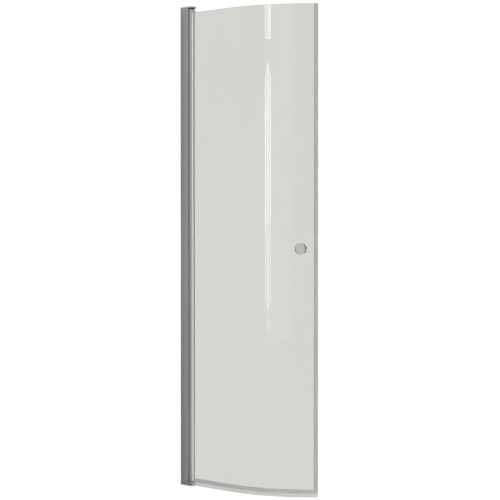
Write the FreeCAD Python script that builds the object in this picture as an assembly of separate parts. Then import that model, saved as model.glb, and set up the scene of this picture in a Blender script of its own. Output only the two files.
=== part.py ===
import FreeCAD, Part
import math
import os

# A curved glass shower door on a wall post, with a pivot hinge that lifts the door as it opens.
# The wall is the plane X = 0, the floor is Z = 0 and the post is centred on Y = 0.
# The door leaves the wall along +X and curves towards +Y, the inside of the shower.
# Lengths are in millimetres and angles in degrees.

# Post, cap and foot
POST_HEIGHT = 2000.0
CAP_THICKNESS = 7.0
CAP_EDGE_CHAMFER = 1.2
FOOT_HEIGHT = 18.5
FOOT_EDGE_CHAMFER = 1.0
END_REACH = 15.5
END_CORNER = 4.0
SPIGOT_LENGTH = 15.0
SPIGOT_WALL = 2.0
SPIGOT_FIT = 0.2

# Wall profile, a channel that opens away from the wall
CHANNEL_WIDTH = 28.0
CHANNEL_DEPTH = 43.0
CHANNEL_WALL = 1.8
CHANNEL_CORNER = 1.5
WALL_HOLE_RADIUS = 2.75
OUTER_HOLE_END_DISTANCE = 150.0
INNER_HOLE_SPACING = 600.0

# Hinge post, a hollow extrusion that slides in the channel
POST_DEPTH = 30.0
POST_REACH = 0.5
POST_WALL = 1.8
POST_FIT = 0.2
POST_TIP_ROUND = 0.8
MOUTH_WALL = 3.2
MOUTH_GAP = 1.0
PORT_WALL = 1.75
BARREL_SEAL_WIDTH = 3.0
BARREL_SEAL_DEPTH = 1.7
BARREL_SEAL_GAP = 0.3
BARREL_SEAL_FIT = 0.05

# Screws of the cap and foot, which run in the hinge post's ports
END_SCREW_RADIUS = 1.6
END_SCREW_FIT = 0.05
END_SCREW_BITE = 14.0
END_SCREW_HEAD_RADIUS = 3.3
END_SCREW_HEAD_HEIGHT = 2.6
END_SCREW_HEAD_FIT = 0.4
END_SCREW_RECESS = 3.0

# Clamp screws, which fix the hinge post in the channel from the inside of the shower
CLAMP_RADIUS = 2.0
CLAMP_FIT = 0.05
CLAMP_LENGTH = 9.0
CLAMP_HEAD_RADIUS = 3.8
CLAMP_HEAD_HEIGHT = 2.4
CLAMP_END_DISTANCE = 200.0
CLAMP_SLOT_LENGTH = 14.0
CLAMP_SLOT_FIT = 0.3
COVER_RADIUS = 7.5
COVER_HEIGHT = 4.5
COVER_HEAD_FIT = 0.8
COVER_CHAMFER = 1.2

# Hinge barrel and its two arms
BARREL_RADIUS = 10.25
BARREL_WALL = 3.25
BARREL_FOOT_GAP = 1.5
SLOT_WALL = 1.0
ARM_WALL = 1.8
ARM_TIP_ROUND = 0.8
ARM_ROOT_FILLET = 1.2
OUTER_ARM_LENGTH = 2.0
INNER_ARM_LENGTH = 9.0
SWING_GAP = 0.8
PLUG_FIT = 0.05
TOP_PLUG_FLANGE = 3.0
TOP_PLUG_LENGTH = 26.0
TAIL_SHOULDER = 4.5
TAIL_LENGTH = 11.5
TAIL_END_HEIGHT = 2.0
TAIL_FIT = 0.05

# Pivots and the lift cam
DOOR_SWING = 90.0
DOOR_RISE = 3.5
TOP_CLEARANCE = 0.5
UPPER_PIN_RADIUS = 4.0
UPPER_PIN_LENGTH = 34.0
UPPER_PIN_HEAD_RADIUS = 6.0
UPPER_PIN_HEAD_HEIGHT = 2.4
UPPER_PIN_HEAD_FIT = 0.2
PIVOT_FIT = 0.06
LOWER_PIN_RADIUS = 3.0
LOWER_PIN_HEAD_RADIUS = 7.0
LOWER_PIN_HEAD_HEIGHT = 3.5
LOWER_PIN_HEAD_FIT = 0.5
LOWER_POCKET_DEPTH = 5.0
PIVOT_END_PLAY = 0.3
HEX_RADIUS = 2.95
HEX_FIT = 0.12
HEX_LENGTH = 24.0
BUSH_WALL = 2.0
BUSH_LENGTH = 9.0
CLIP_RADIUS = 5.0
CLIP_THICKNESS = 0.9
CLIP_GROOVE_DEPTH = 0.6
CLIP_FIT = 0.05
CLIP_ROOM = 0.5
CLIP_MOUTH = 3.6
CAM_BORE_FIT = 0.1
CAM_SEAT_FIT = 0.05
CAM_COLLAR = 3.0
CAM_GAP = 0.4
CAM_STEP_ANGLE = 5.0
CAM_KEY_WIDTH = 3.0
CAM_KEY_REACH = 2.0
CAM_BARREL_GAP = 0.5
FOLLOWER_LENGTH = 37.0
FOLLOWER_BORE_FIT = 0.3
PLUG_SCREW_RADIUS = 1.5
PLUG_SCREW_HEAD_RADIUS = 2.6
PLUG_SCREW_HEAD_HEIGHT = 1.2
PLUG_SCREW_SINK = 0.3
PLUG_SCREW_BITE = 2.0
PLUG_SCREW_FIT = 0.05

# Glass pane, straight at the hinge and then curved
GLASS_THICKNESS = 6.0
GLASS_FOOT_GAP = 1.0
GLASS_TOP_DROP = 25.5
GLASS_ARRIS = 0.8
STRAIGHT_RUN = 210.5
CURVE_RADIUS = 500.0
DOOR_TURN = 45.0
MITRE_GAP = 1.5

# Glazing in the barrel's channel
BOND_THICKNESS = 0.6
BOND_WIDTH = 6.0
GASKET_THICKNESS = 1.4
GASKET_BEAD = 4.0
GASKET_LIP = 0.4
SETTING_THICKNESS = 1.0
SETTING_LENGTH = 60.0
SETTING_END_DISTANCE = 40.0

# Bottom seal and its wiper
GRIP_HEIGHT = 13.5
SEAL_WALL = 1.2
SEAL_LIP = 0.3
SEAL_WEB = 1.6
SEAL_FIT = 0.05
SEAL_END_GAP = 0.8
FIN_REACH = 9.0
FIN_DROP = 5.0
FIN_ROOT = 1.4
FIN_TIP = 0.8
WIPER_FLOOR_GAP = 1.5
WIPER_ROOT = 3.2
WIPER_TIP = 1.2
WIPER_LEAN = 2.5
WIPER_CORNER = 6.0

# Magnet seal on the free edge
MAGNET_GRIP = 9.0
MAGNET_CHAMBER = 8.0
MAGNET_CHAMBER_WIDTH = 10.0
MAGNET_WALL = 0.9
MAGNET_FIT = 0.1
MAGNET_ROUND = 1.5
MAGNET_SEAL_GAP = 0.5

# Knob on both sides of the glass
KNOB_HEIGHT = 997.0
KNOB_SETBACK = 61.0
KNOB_RADIUS = 23.5
KNOB_LENGTH = 20.0
KNOB_BEVEL = 4.5
KNOB_BASE_CHAMFER = 1.5
KNOB_WASHER = 1.0
KNOB_WASHER_RADIUS = 13.0
KNOB_HOLE_RADIUS = 6.0
KNOB_WASHER_MARGIN = 0.5
SLEEVE_FIT = 0.1
STUD_RADIUS = 3.0
STUD_FIT = 0.05
STUD_BITE = 11.0
GRUB_RADIUS = 2.0
GRUB_LENGTH = 10.0
GRUB_FIT = 0.05

V = FreeCAD.Vector
UP = V(0, 0, 1)

# Places across the channel and the hinge post
CHANNEL_HALF = CHANNEL_WIDTH / 2
POST_HALF = CHANNEL_HALF - CHANNEL_WALL - POST_FIT
POST_FRONT = CHANNEL_DEPTH + POST_REACH
POST_BACK = POST_FRONT - POST_DEPTH
CAVITY_HALF = POST_HALF - POST_WALL
CAVITY_BACK = POST_BACK + POST_WALL
PORT_HOLE_RADIUS = END_SCREW_RADIUS + END_SCREW_FIT
PORT_RADIUS = PORT_HOLE_RADIUS + PORT_WALL
PORT_INSET = PORT_RADIUS - POST_WALL / 2
PORT_X = CAVITY_BACK + PORT_INSET
PORT_Y = CAVITY_HALF - PORT_INSET
CLAMP_X = POST_BACK + POST_DEPTH / 2

# Places across the glass, its arms and the hinge axis
GLASS_HALF = GLASS_THICKNESS / 2
OUTER_ARM_INSIDE = GLASS_HALF + GASKET_THICKNESS
OUTER_ARM_OUTSIDE = OUTER_ARM_INSIDE + ARM_WALL
INNER_ARM_INSIDE = GLASS_HALF + BOND_THICKNESS
INNER_ARM_OUTSIDE = INNER_ARM_INSIDE + ARM_WALL
AXIS_X = POST_FRONT + OUTER_ARM_OUTSIDE + SWING_GAP
BORE_RADIUS = BARREL_RADIUS - BARREL_WALL
MOUTH_RADIUS = BARREL_RADIUS + MOUTH_GAP
SLOT_ROOT = AXIS_X + BORE_RADIUS + SLOT_WALL
GLASS_EDGE = SLOT_ROOT + SETTING_THICKNESS
OUTER_ARM_END = SLOT_ROOT + OUTER_ARM_LENGTH
INNER_ARM_END = SLOT_ROOT + INNER_ARM_LENGTH
BARREL_FRONT = AXIS_X + BARREL_RADIUS
TAIL_END = BARREL_FRONT + TAIL_LENGTH
END_FACE = AXIS_X + END_REACH
CORNER_SWEEP = math.hypot(END_REACH - END_CORNER, CHANNEL_HALF - END_CORNER) + END_CORNER

# Heights
CAP_BOTTOM = POST_HEIGHT - CAP_THICKNESS
DOOR_TOP = CAP_BOTTOM - DOOR_RISE - TOP_CLEARANCE
BARREL_TOP = DOOR_TOP - TOP_PLUG_FLANGE
BARREL_BOTTOM = FOOT_HEIGHT + BARREL_FOOT_GAP
GLASS_BOTTOM = FOOT_HEIGHT + GLASS_FOOT_GAP
GLASS_TOP = POST_HEIGHT - GLASS_TOP_DROP
GRIP_TOP = GLASS_BOTTOM + GRIP_HEIGHT
WEB_BOTTOM = GLASS_BOTTOM - SEAL_WEB
ARM_BOTTOM = BARREL_BOTTOM
ARM_TOP = GLASS_TOP
POST_MIDDLE = POST_HEIGHT / 2
OUTER_HOLE_SPACING = POST_HEIGHT - 2 * OUTER_HOLE_END_DISTANCE
CLAMP_HEIGHTS = (CLAMP_END_DISTANCE, POST_MIDDLE, POST_HEIGHT - CLAMP_END_DISTANCE)

# Distances along the middle of the pane, from the hinge axis
GLASS_START = GLASS_EDGE - AXIS_X
SEAL_START = CORNER_SWEEP + SEAL_END_GAP
DOOR_END = STRAIGHT_RUN + CURVE_RADIUS * math.radians(DOOR_TURN) - MITRE_GAP
GLASS_END = DOOR_END - MAGNET_CHAMBER
MAGNET_START = GLASS_END - MAGNET_GRIP
SEAL_END = MAGNET_START - MAGNET_SEAL_GAP
KNOB_PLACE = GLASS_END - KNOB_SETBACK
WASHER_TOP = GLASS_HALF + KNOB_WASHER
GRUB_OFFSET = WASHER_TOP + STUD_BITE / 2
TANGENT_X = AXIS_X + STRAIGHT_RUN
CURVE_CENTRE = V(TANGENT_X, CURVE_RADIUS, 0)

# Levels of the lower pivot, from the foot's underside upwards
BUSH_BOTTOM = LOWER_POCKET_DEPTH
BUSH_TOP = BUSH_BOTTOM + BUSH_LENGTH
BUSH_RADIUS = LOWER_PIN_RADIUS + PIVOT_FIT + BUSH_WALL
PIN_HEAD_TOP = BUSH_BOTTOM - PIVOT_END_PLAY
CLIP_BOTTOM = BUSH_TOP + PIVOT_END_PLAY
CLIP_TOP = CLIP_BOTTOM + CLIP_THICKNESS
CAM_LEAD = DOOR_RISE * 360 / DOOR_SWING
RAMP_RISE = CAM_LEAD / 2
RAMP_LOW = FOOT_HEIGHT + CAM_COLLAR
RAMP_HIGH = RAMP_LOW + RAMP_RISE
STEP_RISE = CAM_LEAD * CAM_STEP_ANGLE / 360
HEX_START = RAMP_HIGH + CAM_GAP
FOLLOWER_TOP = RAMP_LOW + FOLLOWER_LENGTH
HEX_BORE_START = HEX_START + CAM_GAP
FOLLOWER_SCREW_HEIGHT = (HEX_BORE_START + FOLLOWER_TOP) / 2
TOP_SCREW_HEIGHT = BARREL_TOP - TOP_PLUG_LENGTH / 2
PLUG_RADIUS = BORE_RADIUS - PLUG_FIT
CAM_OUTSIDE = BORE_RADIUS - CAM_BARREL_GAP
CAM_BORE = LOWER_PIN_RADIUS + CAM_BORE_FIT


def polygon(points):
    """Flat face with straight sides through the points."""
    return Part.Face(Part.makePolygon(list(points) + [points[0]]))


def block(x1, x2, y1, y2, z1, z2):
    """Box between two corners."""
    return Part.makeBox(x2 - x1, y2 - y1, z2 - z1, V(x1, y1, z1))


def upright_rod(radius, x, y, z1, z2):
    """Upright cylinder between two heights."""
    return Part.makeCylinder(radius, z2 - z1, V(x, y, z1), UP)


def axis_rod(radius, z1, z2):
    """Upright cylinder on the hinge axis."""
    return upright_rod(radius, AXIS_X, 0, z1, z2)


def axis_ring(inner, outer, z1, z2):
    """Upright ring on the hinge axis."""
    return axis_rod(outer, z1, z2).cut(axis_rod(inner, z1, z2))


def upright_edges(shape, places):
    """Upright edges of a shape that stand at the given (x, y) places."""
    found = []
    for edge in shape.Edges:
        box = edge.BoundBox
        for x, y in places:
            if box.ZLength > 1 and abs(box.Center.x - x) + abs(box.Center.y - y) < 0.01:
                found.append(edge)
    return found


def end_plate(z1, z2):
    """Plate of the cap and foot: square at the wall, with round corners past the hinge axis."""
    plate = block(0, END_FACE, -CHANNEL_HALF, CHANNEL_HALF, z1, z2)
    corners = upright_edges(plate, [(END_FACE, -CHANNEL_HALF), (END_FACE, CHANNEL_HALF)])
    return plate.makeFillet(END_CORNER, corners)


def free_edges(shape, z):
    """Edges at one height, without the edge that lies against the wall."""
    found = []
    for edge in shape.Edges:
        box = edge.BoundBox
        if abs(box.ZMin - z) < 0.01 and abs(box.ZMax - z) < 0.01 and box.XMax > 0.01:
            found.append(edge)
    return found


def spigot(z1, z2):
    """Hollow tongue that locates the cap or foot in the hinge post."""
    back = PORT_X + PORT_RADIUS + SPIGOT_FIT
    front = AXIS_X - MOUTH_RADIUS - MOUTH_WALL - SPIGOT_FIT
    side = CAVITY_HALF - SPIGOT_FIT
    wall = SPIGOT_WALL
    outside = block(back, front, -side, side, z1, z2)
    inside = block(back + wall, front - wall, wall - side, side - wall, z1, z2)
    return outside.cut(inside)


def sweep_along_door(profile, start, end):
    """Sweeps a closed profile of (offset, height) points along the door.

    Offsets are from the middle of the pane, positive on the outside. The start and end are
    distances along that middle, from the hinge axis.
    """
    pieces = []
    if start < STRAIGHT_RUN:
        stop = min(end, STRAIGHT_RUN)
        face = polygon([V(AXIS_X + start, -offset, z) for offset, z in profile])
        pieces.append(face.extrude(V(stop - start, 0, 0)))
    if end > STRAIGHT_RUN:
        first = max(start, STRAIGHT_RUN)
        face = polygon([V(TANGENT_X, -offset, z) for offset, z in profile])
        face.rotate(CURVE_CENTRE, UP, math.degrees((first - STRAIGHT_RUN) / CURVE_RADIUS))
        turn = math.degrees((end - first) / CURVE_RADIUS)
        pieces.append(face.revolve(CURVE_CENTRE, UP, turn))
    if len(pieces) == 1:
        return pieces[0]
    return pieces[0].fuse(pieces[1]).removeSplitter()


def door_slab(start, end, inside, outside, z1, z2):
    """Slab that follows the door between two offsets from the middle of the pane."""
    return sweep_along_door([(inside, z1), (outside, z1), (outside, z2), (inside, z2)], start, end)


def door_point(place, offset, z):
    """Point on the door's curved part at a distance along it and an offset from its middle."""
    angle = (place - STRAIGHT_RUN) / CURVE_RADIUS
    radius = CURVE_RADIUS + offset
    return CURVE_CENTRE + V(radius * math.sin(angle), -radius * math.cos(angle), z)


def helical_block(inner, outer, start, turn, low, height):
    """Block about the hinge axis that climbs by the cam's lead as it turns clockwise.

    It begins at the angle start, where its underside is at the height low.
    """
    climb = CAM_LEAD * turn / 360
    spine = Part.makeHelix(CAM_LEAD, climb, (inner + outer) / 2)
    half = height / 2
    corners = [V(inner, 0, -half), V(outer, 0, -half), V(outer, 0, half), V(inner, 0, half)]
    profile = Part.makePolygon(corners + [corners[0]])
    solid = Part.Wire(spine).makePipeShell([profile], True, True)
    solid = solid.mirror(V(0, 0, 0), V(0, 1, 0))
    solid.rotate(V(0, 0, 0), UP, start)
    solid.translate(V(AXIS_X, 0, low + half))
    return solid


def wall_profile():
    """Channel on the wall, with screw holes in its web and clamp slots in its inner flange."""
    low = FOOT_HEIGHT
    high = CAP_BOTTOM
    outside = block(0, CHANNEL_DEPTH, -CHANNEL_HALF, CHANNEL_HALF, low, high)
    corners = upright_edges(outside, [(0, -CHANNEL_HALF), (0, CHANNEL_HALF)])
    profile = outside.makeFillet(CHANNEL_CORNER, corners)
    side = CHANNEL_HALF - CHANNEL_WALL
    profile = profile.cut(block(CHANNEL_WALL, CHANNEL_DEPTH, -side, side, low, high))
    for spacing in (OUTER_HOLE_SPACING, INNER_HOLE_SPACING):
        for end in (-1, 1):
            place = V(0, 0, POST_MIDDLE + end * spacing / 2)
            hole = Part.makeCylinder(WALL_HOLE_RADIUS, CHANNEL_WALL, place, V(1, 0, 0))
            profile = profile.cut(hole)
    half = CLAMP_RADIUS + CLAMP_SLOT_FIT
    run = CLAMP_SLOT_LENGTH / 2 - half
    for z in CLAMP_HEIGHTS:
        profile = profile.cut(block(CLAMP_X - run, CLAMP_X + run, side, CHANNEL_HALF, z - half, z + half))
        for end in (-run, run):
            place = V(CLAMP_X + end, side, z)
            profile = profile.cut(Part.makeCylinder(half, CHANNEL_WALL, place, V(0, 1, 0)))
    return profile


def barrel_seal_section(side, front, depth, z1, z2):
    """Bar for the barrel seal or its groove, on the mouth's middle line."""
    root = AXIS_X - MOUTH_RADIUS
    return block(root - depth, front, -side, side, z1, z2)


def hinge_post():
    """Hollow extrusion with a round mouth for the barrel and two screw ports."""
    low = FOOT_HEIGHT
    high = CAP_BOTTOM
    outside = block(POST_BACK, POST_FRONT, -POST_HALF, POST_HALF, low, high)
    tips = upright_edges(outside, [(POST_FRONT, -POST_HALF), (POST_FRONT, POST_HALF)])
    post = outside.makeFillet(POST_TIP_ROUND, tips)
    cavity_front = POST_FRONT - POST_WALL
    cavity = block(CAVITY_BACK, cavity_front, -CAVITY_HALF, CAVITY_HALF, low, high)
    cavity = cavity.cut(axis_rod(MOUTH_RADIUS + MOUTH_WALL, low, high))
    post = post.cut(cavity)
    post = post.cut(axis_rod(MOUTH_RADIUS, low, high))
    for y in (-PORT_Y, PORT_Y):
        post = post.fuse(upright_rod(PORT_RADIUS, PORT_X, y, low, high))
    for y in (-PORT_Y, PORT_Y):
        post = post.cut(upright_rod(PORT_HOLE_RADIUS, PORT_X, y, low, high))
    groove = barrel_seal_section(BARREL_SEAL_WIDTH / 2, AXIS_X, BARREL_SEAL_DEPTH, low, high)
    post = post.cut(groove)
    for z in CLAMP_HEIGHTS:
        place = V(CLAMP_X, CAVITY_HALF, z)
        hole = Part.makeCylinder(CLAMP_RADIUS + CLAMP_FIT, POST_WALL, place, V(0, 1, 0))
        post = post.cut(hole)
    return post.removeSplitter()


def barrel_seal():
    """Soft strip in the mouth's groove that reaches almost to the barrel."""
    front = AXIS_X - BARREL_RADIUS - BARREL_SEAL_GAP
    side = BARREL_SEAL_WIDTH / 2 - BARREL_SEAL_FIT
    strip = barrel_seal_section(side, front, BARREL_SEAL_DEPTH, FOOT_HEIGHT, CAP_BOTTOM)
    clear = axis_rod(BARREL_RADIUS + BARREL_SEAL_GAP, FOOT_HEIGHT, CAP_BOTTOM)
    return strip.cut(clear)


def end_screw(y, seat, direction, grip):
    """Screw of the cap or foot, with its head's underside at the height seat."""
    along = V(0, 0, direction)
    place = V(PORT_X, y, seat)
    shank = Part.makeCylinder(END_SCREW_RADIUS, grip + END_SCREW_BITE, place, along)
    head = Part.makeCylinder(END_SCREW_HEAD_RADIUS, END_SCREW_HEAD_HEIGHT, place, along * -1)
    return shank.fuse(head)


def end_screw_holes(seat, through, outer_face):
    """Screw holes of the cap or foot: a clearance hole and a recess for each head."""
    holes = []
    for y in (-PORT_Y, PORT_Y):
        low = min(seat, through)
        high = max(seat, through)
        holes.append(upright_rod(PORT_HOLE_RADIUS, PORT_X, y, low, high))
        low = min(seat, outer_face)
        high = max(seat, outer_face)
        recess = END_SCREW_HEAD_RADIUS + END_SCREW_HEAD_FIT
        holes.append(upright_rod(recess, PORT_X, y, low, high))
    return holes


def cap_screws():
    """Two screws down through the cap."""
    seat = POST_HEIGHT - END_SCREW_RECESS
    grip = CAP_THICKNESS - END_SCREW_RECESS
    return Part.makeCompound([end_screw(y, seat, -1, grip) for y in (-PORT_Y, PORT_Y)])


def foot_screws():
    """Two screws up through the foot."""
    seat = END_SCREW_RECESS
    grip = FOOT_HEIGHT - END_SCREW_RECESS
    return Part.makeCompound([end_screw(y, seat, 1, grip) for y in (-PORT_Y, PORT_Y)])


def top_cap():
    """Flat cap that reaches past the hinge axis and carries the upper pivot pin."""
    plate = end_plate(CAP_BOTTOM, POST_HEIGHT)
    cap = plate.makeChamfer(CAP_EDGE_CHAMFER, free_edges(plate, POST_HEIGHT))
    cap = cap.fuse(spigot(CAP_BOTTOM - SPIGOT_LENGTH, CAP_BOTTOM))
    seat = POST_HEIGHT - END_SCREW_RECESS
    for hole in end_screw_holes(seat, CAP_BOTTOM, POST_HEIGHT):
        cap = cap.cut(hole)
    head_room = UPPER_PIN_HEAD_HEIGHT + UPPER_PIN_HEAD_FIT
    cap = cap.cut(axis_rod(UPPER_PIN_RADIUS, CAP_BOTTOM, POST_HEIGHT))
    head_hole = UPPER_PIN_HEAD_RADIUS + UPPER_PIN_HEAD_FIT
    return cap.cut(axis_rod(head_hole, POST_HEIGHT - head_room, POST_HEIGHT)).removeSplitter()


def upper_pivot_pin():
    """Headed pin through the cap, on which the barrel's top turns."""
    seat = POST_HEIGHT - UPPER_PIN_HEAD_HEIGHT - UPPER_PIN_HEAD_FIT
    shank = axis_rod(UPPER_PIN_RADIUS, seat - UPPER_PIN_LENGTH, seat)
    head = axis_rod(UPPER_PIN_HEAD_RADIUS, seat, seat + UPPER_PIN_HEAD_HEIGHT)
    return shank.fuse(head)


def cam_keys(fit):
    """Bar across the cam's base that keeps it from turning in the foot."""
    reach = CAM_OUTSIDE + CAM_KEY_REACH + fit
    side = CAM_KEY_WIDTH / 2 + fit
    return block(AXIS_X - reach, AXIS_X + reach, -side, side, BUSH_TOP, FOOT_HEIGHT)


def foot():
    """Cast foot that carries the post, the lower bush and the lift cam."""
    solid = end_plate(0, FOOT_HEIGHT)
    solid = solid.makeChamfer(FOOT_EDGE_CHAMFER, free_edges(solid, 0))
    solid = solid.fuse(spigot(FOOT_HEIGHT, FOOT_HEIGHT + SPIGOT_LENGTH))
    for hole in end_screw_holes(END_SCREW_RECESS, FOOT_HEIGHT, 0):
        solid = solid.cut(hole)
    solid = solid.cut(axis_rod(LOWER_PIN_HEAD_RADIUS + LOWER_PIN_HEAD_FIT, 0, LOWER_POCKET_DEPTH))
    solid = solid.cut(axis_rod(BUSH_RADIUS, BUSH_BOTTOM, BUSH_TOP))
    solid = solid.cut(axis_rod(CAM_OUTSIDE + CAM_SEAT_FIT, BUSH_TOP, FOOT_HEIGHT))
    return solid.cut(cam_keys(CAM_SEAT_FIT)).removeSplitter()


def lower_bush():
    """Plain bearing bush pressed in the foot."""
    return axis_ring(LOWER_PIN_RADIUS + PIVOT_FIT, BUSH_RADIUS, BUSH_BOTTOM, BUSH_TOP)


def lift_cam():
    """Fixed cam: two helical ramps that climb clockwise, on a collar keyed into the foot."""
    cam = axis_rod(CAM_OUTSIDE, BUSH_TOP, RAMP_HIGH)
    height = RAMP_RISE * 2
    turn = 180 + CAM_STEP_ANGLE
    for start in (90, 270):
        air = helical_block(CAM_BORE / 2, CAM_OUTSIDE + CAM_GAP, start, turn, RAMP_LOW, height)
        cam = cam.cut(air)
    cam = cam.fuse(cam_keys(0))
    cam = cam.cut(axis_rod(CAM_BORE, BUSH_TOP, RAMP_HIGH))
    return cam.cut(axis_rod(CLIP_RADIUS + CLIP_ROOM, BUSH_TOP, CLIP_TOP + CLIP_ROOM)).removeSplitter()


def cam_follower():
    """Plug in the barrel's foot with two ramps that ride on the cam, and a hexagon bore."""
    follower = axis_rod(PLUG_RADIUS, RAMP_LOW, FOLLOWER_TOP)
    height = RAMP_RISE * 2
    turn = 180 + 2 * CAM_STEP_ANGLE
    low = RAMP_LOW + CAM_GAP - STEP_RISE - height
    for start in (90, 270):
        angle = start + CAM_STEP_ANGLE
        under = helical_block(CAM_BORE / 2, BORE_RADIUS + CAM_GAP, angle, turn, low, height)
        follower = follower.cut(under)
    follower = follower.cut(axis_rod(LOWER_PIN_RADIUS + FOLLOWER_BORE_FIT, RAMP_LOW, HEX_BORE_START))
    follower = follower.cut(hexagon(HEX_RADIUS + HEX_FIT, HEX_BORE_START, FOLLOWER_TOP))
    return follower.cut(plug_screw_shape(FOLLOWER_SCREW_HEIGHT, PLUG_SCREW_FIT))


def hexagon(radius, z1, z2):
    """Upright hexagon bar on the hinge axis."""
    corners = []
    for step in range(6):
        angle = math.radians(60 * step)
        corners.append(V(AXIS_X + radius * math.cos(angle), radius * math.sin(angle), z1))
    return polygon(corners).extrude(V(0, 0, z2 - z1))


def lower_pivot_pin():
    """Headed pin that turns with the door in the bush and lets the door slide up on its hexagon."""
    pin = axis_rod(LOWER_PIN_HEAD_RADIUS, PIN_HEAD_TOP - LOWER_PIN_HEAD_HEIGHT, PIN_HEAD_TOP)
    pin = pin.fuse(axis_rod(LOWER_PIN_RADIUS, PIN_HEAD_TOP, HEX_START))
    pin = pin.fuse(hexagon(HEX_RADIUS, HEX_START, HEX_START + HEX_LENGTH))
    groove = axis_ring(LOWER_PIN_RADIUS - CLIP_GROOVE_DEPTH, LOWER_PIN_RADIUS, CLIP_BOTTOM, CLIP_TOP)
    return pin.cut(groove)


def pivot_clip():
    """Open snap ring in the pin's groove, which keeps the pin from dropping out."""
    inner = LOWER_PIN_RADIUS - CLIP_GROOVE_DEPTH + CLIP_FIT
    ring = axis_ring(inner, CLIP_RADIUS, CLIP_BOTTOM, CLIP_TOP)
    half = CLIP_MOUTH / 2
    mouth = block(AXIS_X, AXIS_X + CLIP_RADIUS, -half, half, CLIP_BOTTOM, CLIP_TOP)
    return ring.cut(mouth)


def plug_screw_shape(z, fit):
    """Screw, or its hole, through the barrel's inner side into a plug."""
    head_out = BARREL_RADIUS - PLUG_SCREW_SINK
    head_in = head_out - PLUG_SCREW_HEAD_HEIGHT
    tip = PLUG_RADIUS - PLUG_SCREW_BITE - fit
    inward = V(0, -1, 0)
    shank = Part.makeCylinder(PLUG_SCREW_RADIUS + fit, head_in - tip, V(AXIS_X, head_in, z), inward)
    head_high = BARREL_RADIUS if fit else head_out
    place = V(AXIS_X, head_high, z)
    head = Part.makeCylinder(PLUG_SCREW_HEAD_RADIUS + fit, head_high - head_in, place, inward)
    return shank.fuse(head)


def plug_screws():
    """The two screws that hold the follower and the top plug in the barrel."""
    heights = (FOLLOWER_SCREW_HEIGHT, TOP_SCREW_HEIGHT)
    return Part.makeCompound([plug_screw_shape(z, 0) for z in heights])


def hinge_barrel():
    """Round extrusion that turns with the door, with a channel for the edge of the glass."""
    arms = block(AXIS_X, INNER_ARM_END, -OUTER_ARM_OUTSIDE, INNER_ARM_OUTSIDE, ARM_BOTTOM, ARM_TOP)
    short = block(OUTER_ARM_END, INNER_ARM_END, -OUTER_ARM_OUTSIDE, 0, ARM_BOTTOM, ARM_TOP)
    arms = arms.cut(short)
    tips = [(OUTER_ARM_END, -OUTER_ARM_OUTSIDE), (INNER_ARM_END, INNER_ARM_OUTSIDE)]
    arms = arms.makeFillet(ARM_TIP_ROUND, upright_edges(arms, tips))
    barrel = axis_rod(BARREL_RADIUS, BARREL_BOTTOM, BARREL_TOP).fuse(arms).removeSplitter()
    roots = []
    for y in (-OUTER_ARM_OUTSIDE, INNER_ARM_OUTSIDE):
        roots.append((AXIS_X + math.sqrt(BARREL_RADIUS ** 2 - y ** 2), y))
    barrel = barrel.makeFillet(ARM_ROOT_FILLET, upright_edges(barrel, roots))
    slot_end = max(INNER_ARM_END, BARREL_FRONT)
    slot = block(SLOT_ROOT, slot_end, -OUTER_ARM_INSIDE, INNER_ARM_INSIDE, ARM_BOTTOM, ARM_TOP)
    barrel = barrel.cut(slot)
    barrel = barrel.cut(axis_rod(BORE_RADIUS, BARREL_BOTTOM, BARREL_TOP))
    for z in (FOLLOWER_SCREW_HEIGHT, TOP_SCREW_HEIGHT):
        barrel = barrel.cut(plug_screw_shape(z, PLUG_SCREW_FIT))
    return barrel


def barrel_top_plug():
    """Plug in the barrel's top, with a bearing bore and a tail that slopes down to the glass."""
    plug = axis_rod(PLUG_RADIUS, BARREL_TOP - TOP_PLUG_LENGTH, BARREL_TOP)
    plug = plug.fuse(axis_rod(BARREL_RADIUS, BARREL_TOP, DOOR_TOP))
    slope = [
        V(AXIS_X, -OUTER_ARM_OUTSIDE, ARM_TOP),
        V(TAIL_END, -OUTER_ARM_OUTSIDE, ARM_TOP),
        V(TAIL_END, -OUTER_ARM_OUTSIDE, ARM_TOP + TAIL_END_HEIGHT),
        V(BARREL_FRONT + TAIL_SHOULDER, -OUTER_ARM_OUTSIDE, DOOR_TOP),
        V(AXIS_X, -OUTER_ARM_OUTSIDE, DOOR_TOP),
    ]
    tail = polygon(slope).extrude(V(0, OUTER_ARM_OUTSIDE + INNER_ARM_OUTSIDE, 0))
    tail = tail.cut(axis_rod(BARREL_RADIUS + TAIL_FIT, ARM_TOP, BARREL_TOP))
    plug = plug.fuse(tail)
    plug = plug.cut(axis_rod(UPPER_PIN_RADIUS + PIVOT_FIT, BARREL_TOP - TOP_PLUG_LENGTH, DOOR_TOP))
    return plug.cut(plug_screw_shape(TOP_SCREW_HEIGHT, PLUG_SCREW_FIT)).removeSplitter()


def clamp_screws():
    """Three screws through the channel's inner flange into the hinge post."""
    screws = []
    for z in CLAMP_HEIGHTS:
        place = V(CLAMP_X, CHANNEL_HALF, z)
        shank = Part.makeCylinder(CLAMP_RADIUS, CLAMP_LENGTH, place, V(0, -1, 0))
        head = Part.makeCylinder(CLAMP_HEAD_RADIUS, CLAMP_HEAD_HEIGHT, place, V(0, 1, 0))
        screws.append(shank.fuse(head))
    return Part.makeCompound(screws)


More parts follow.
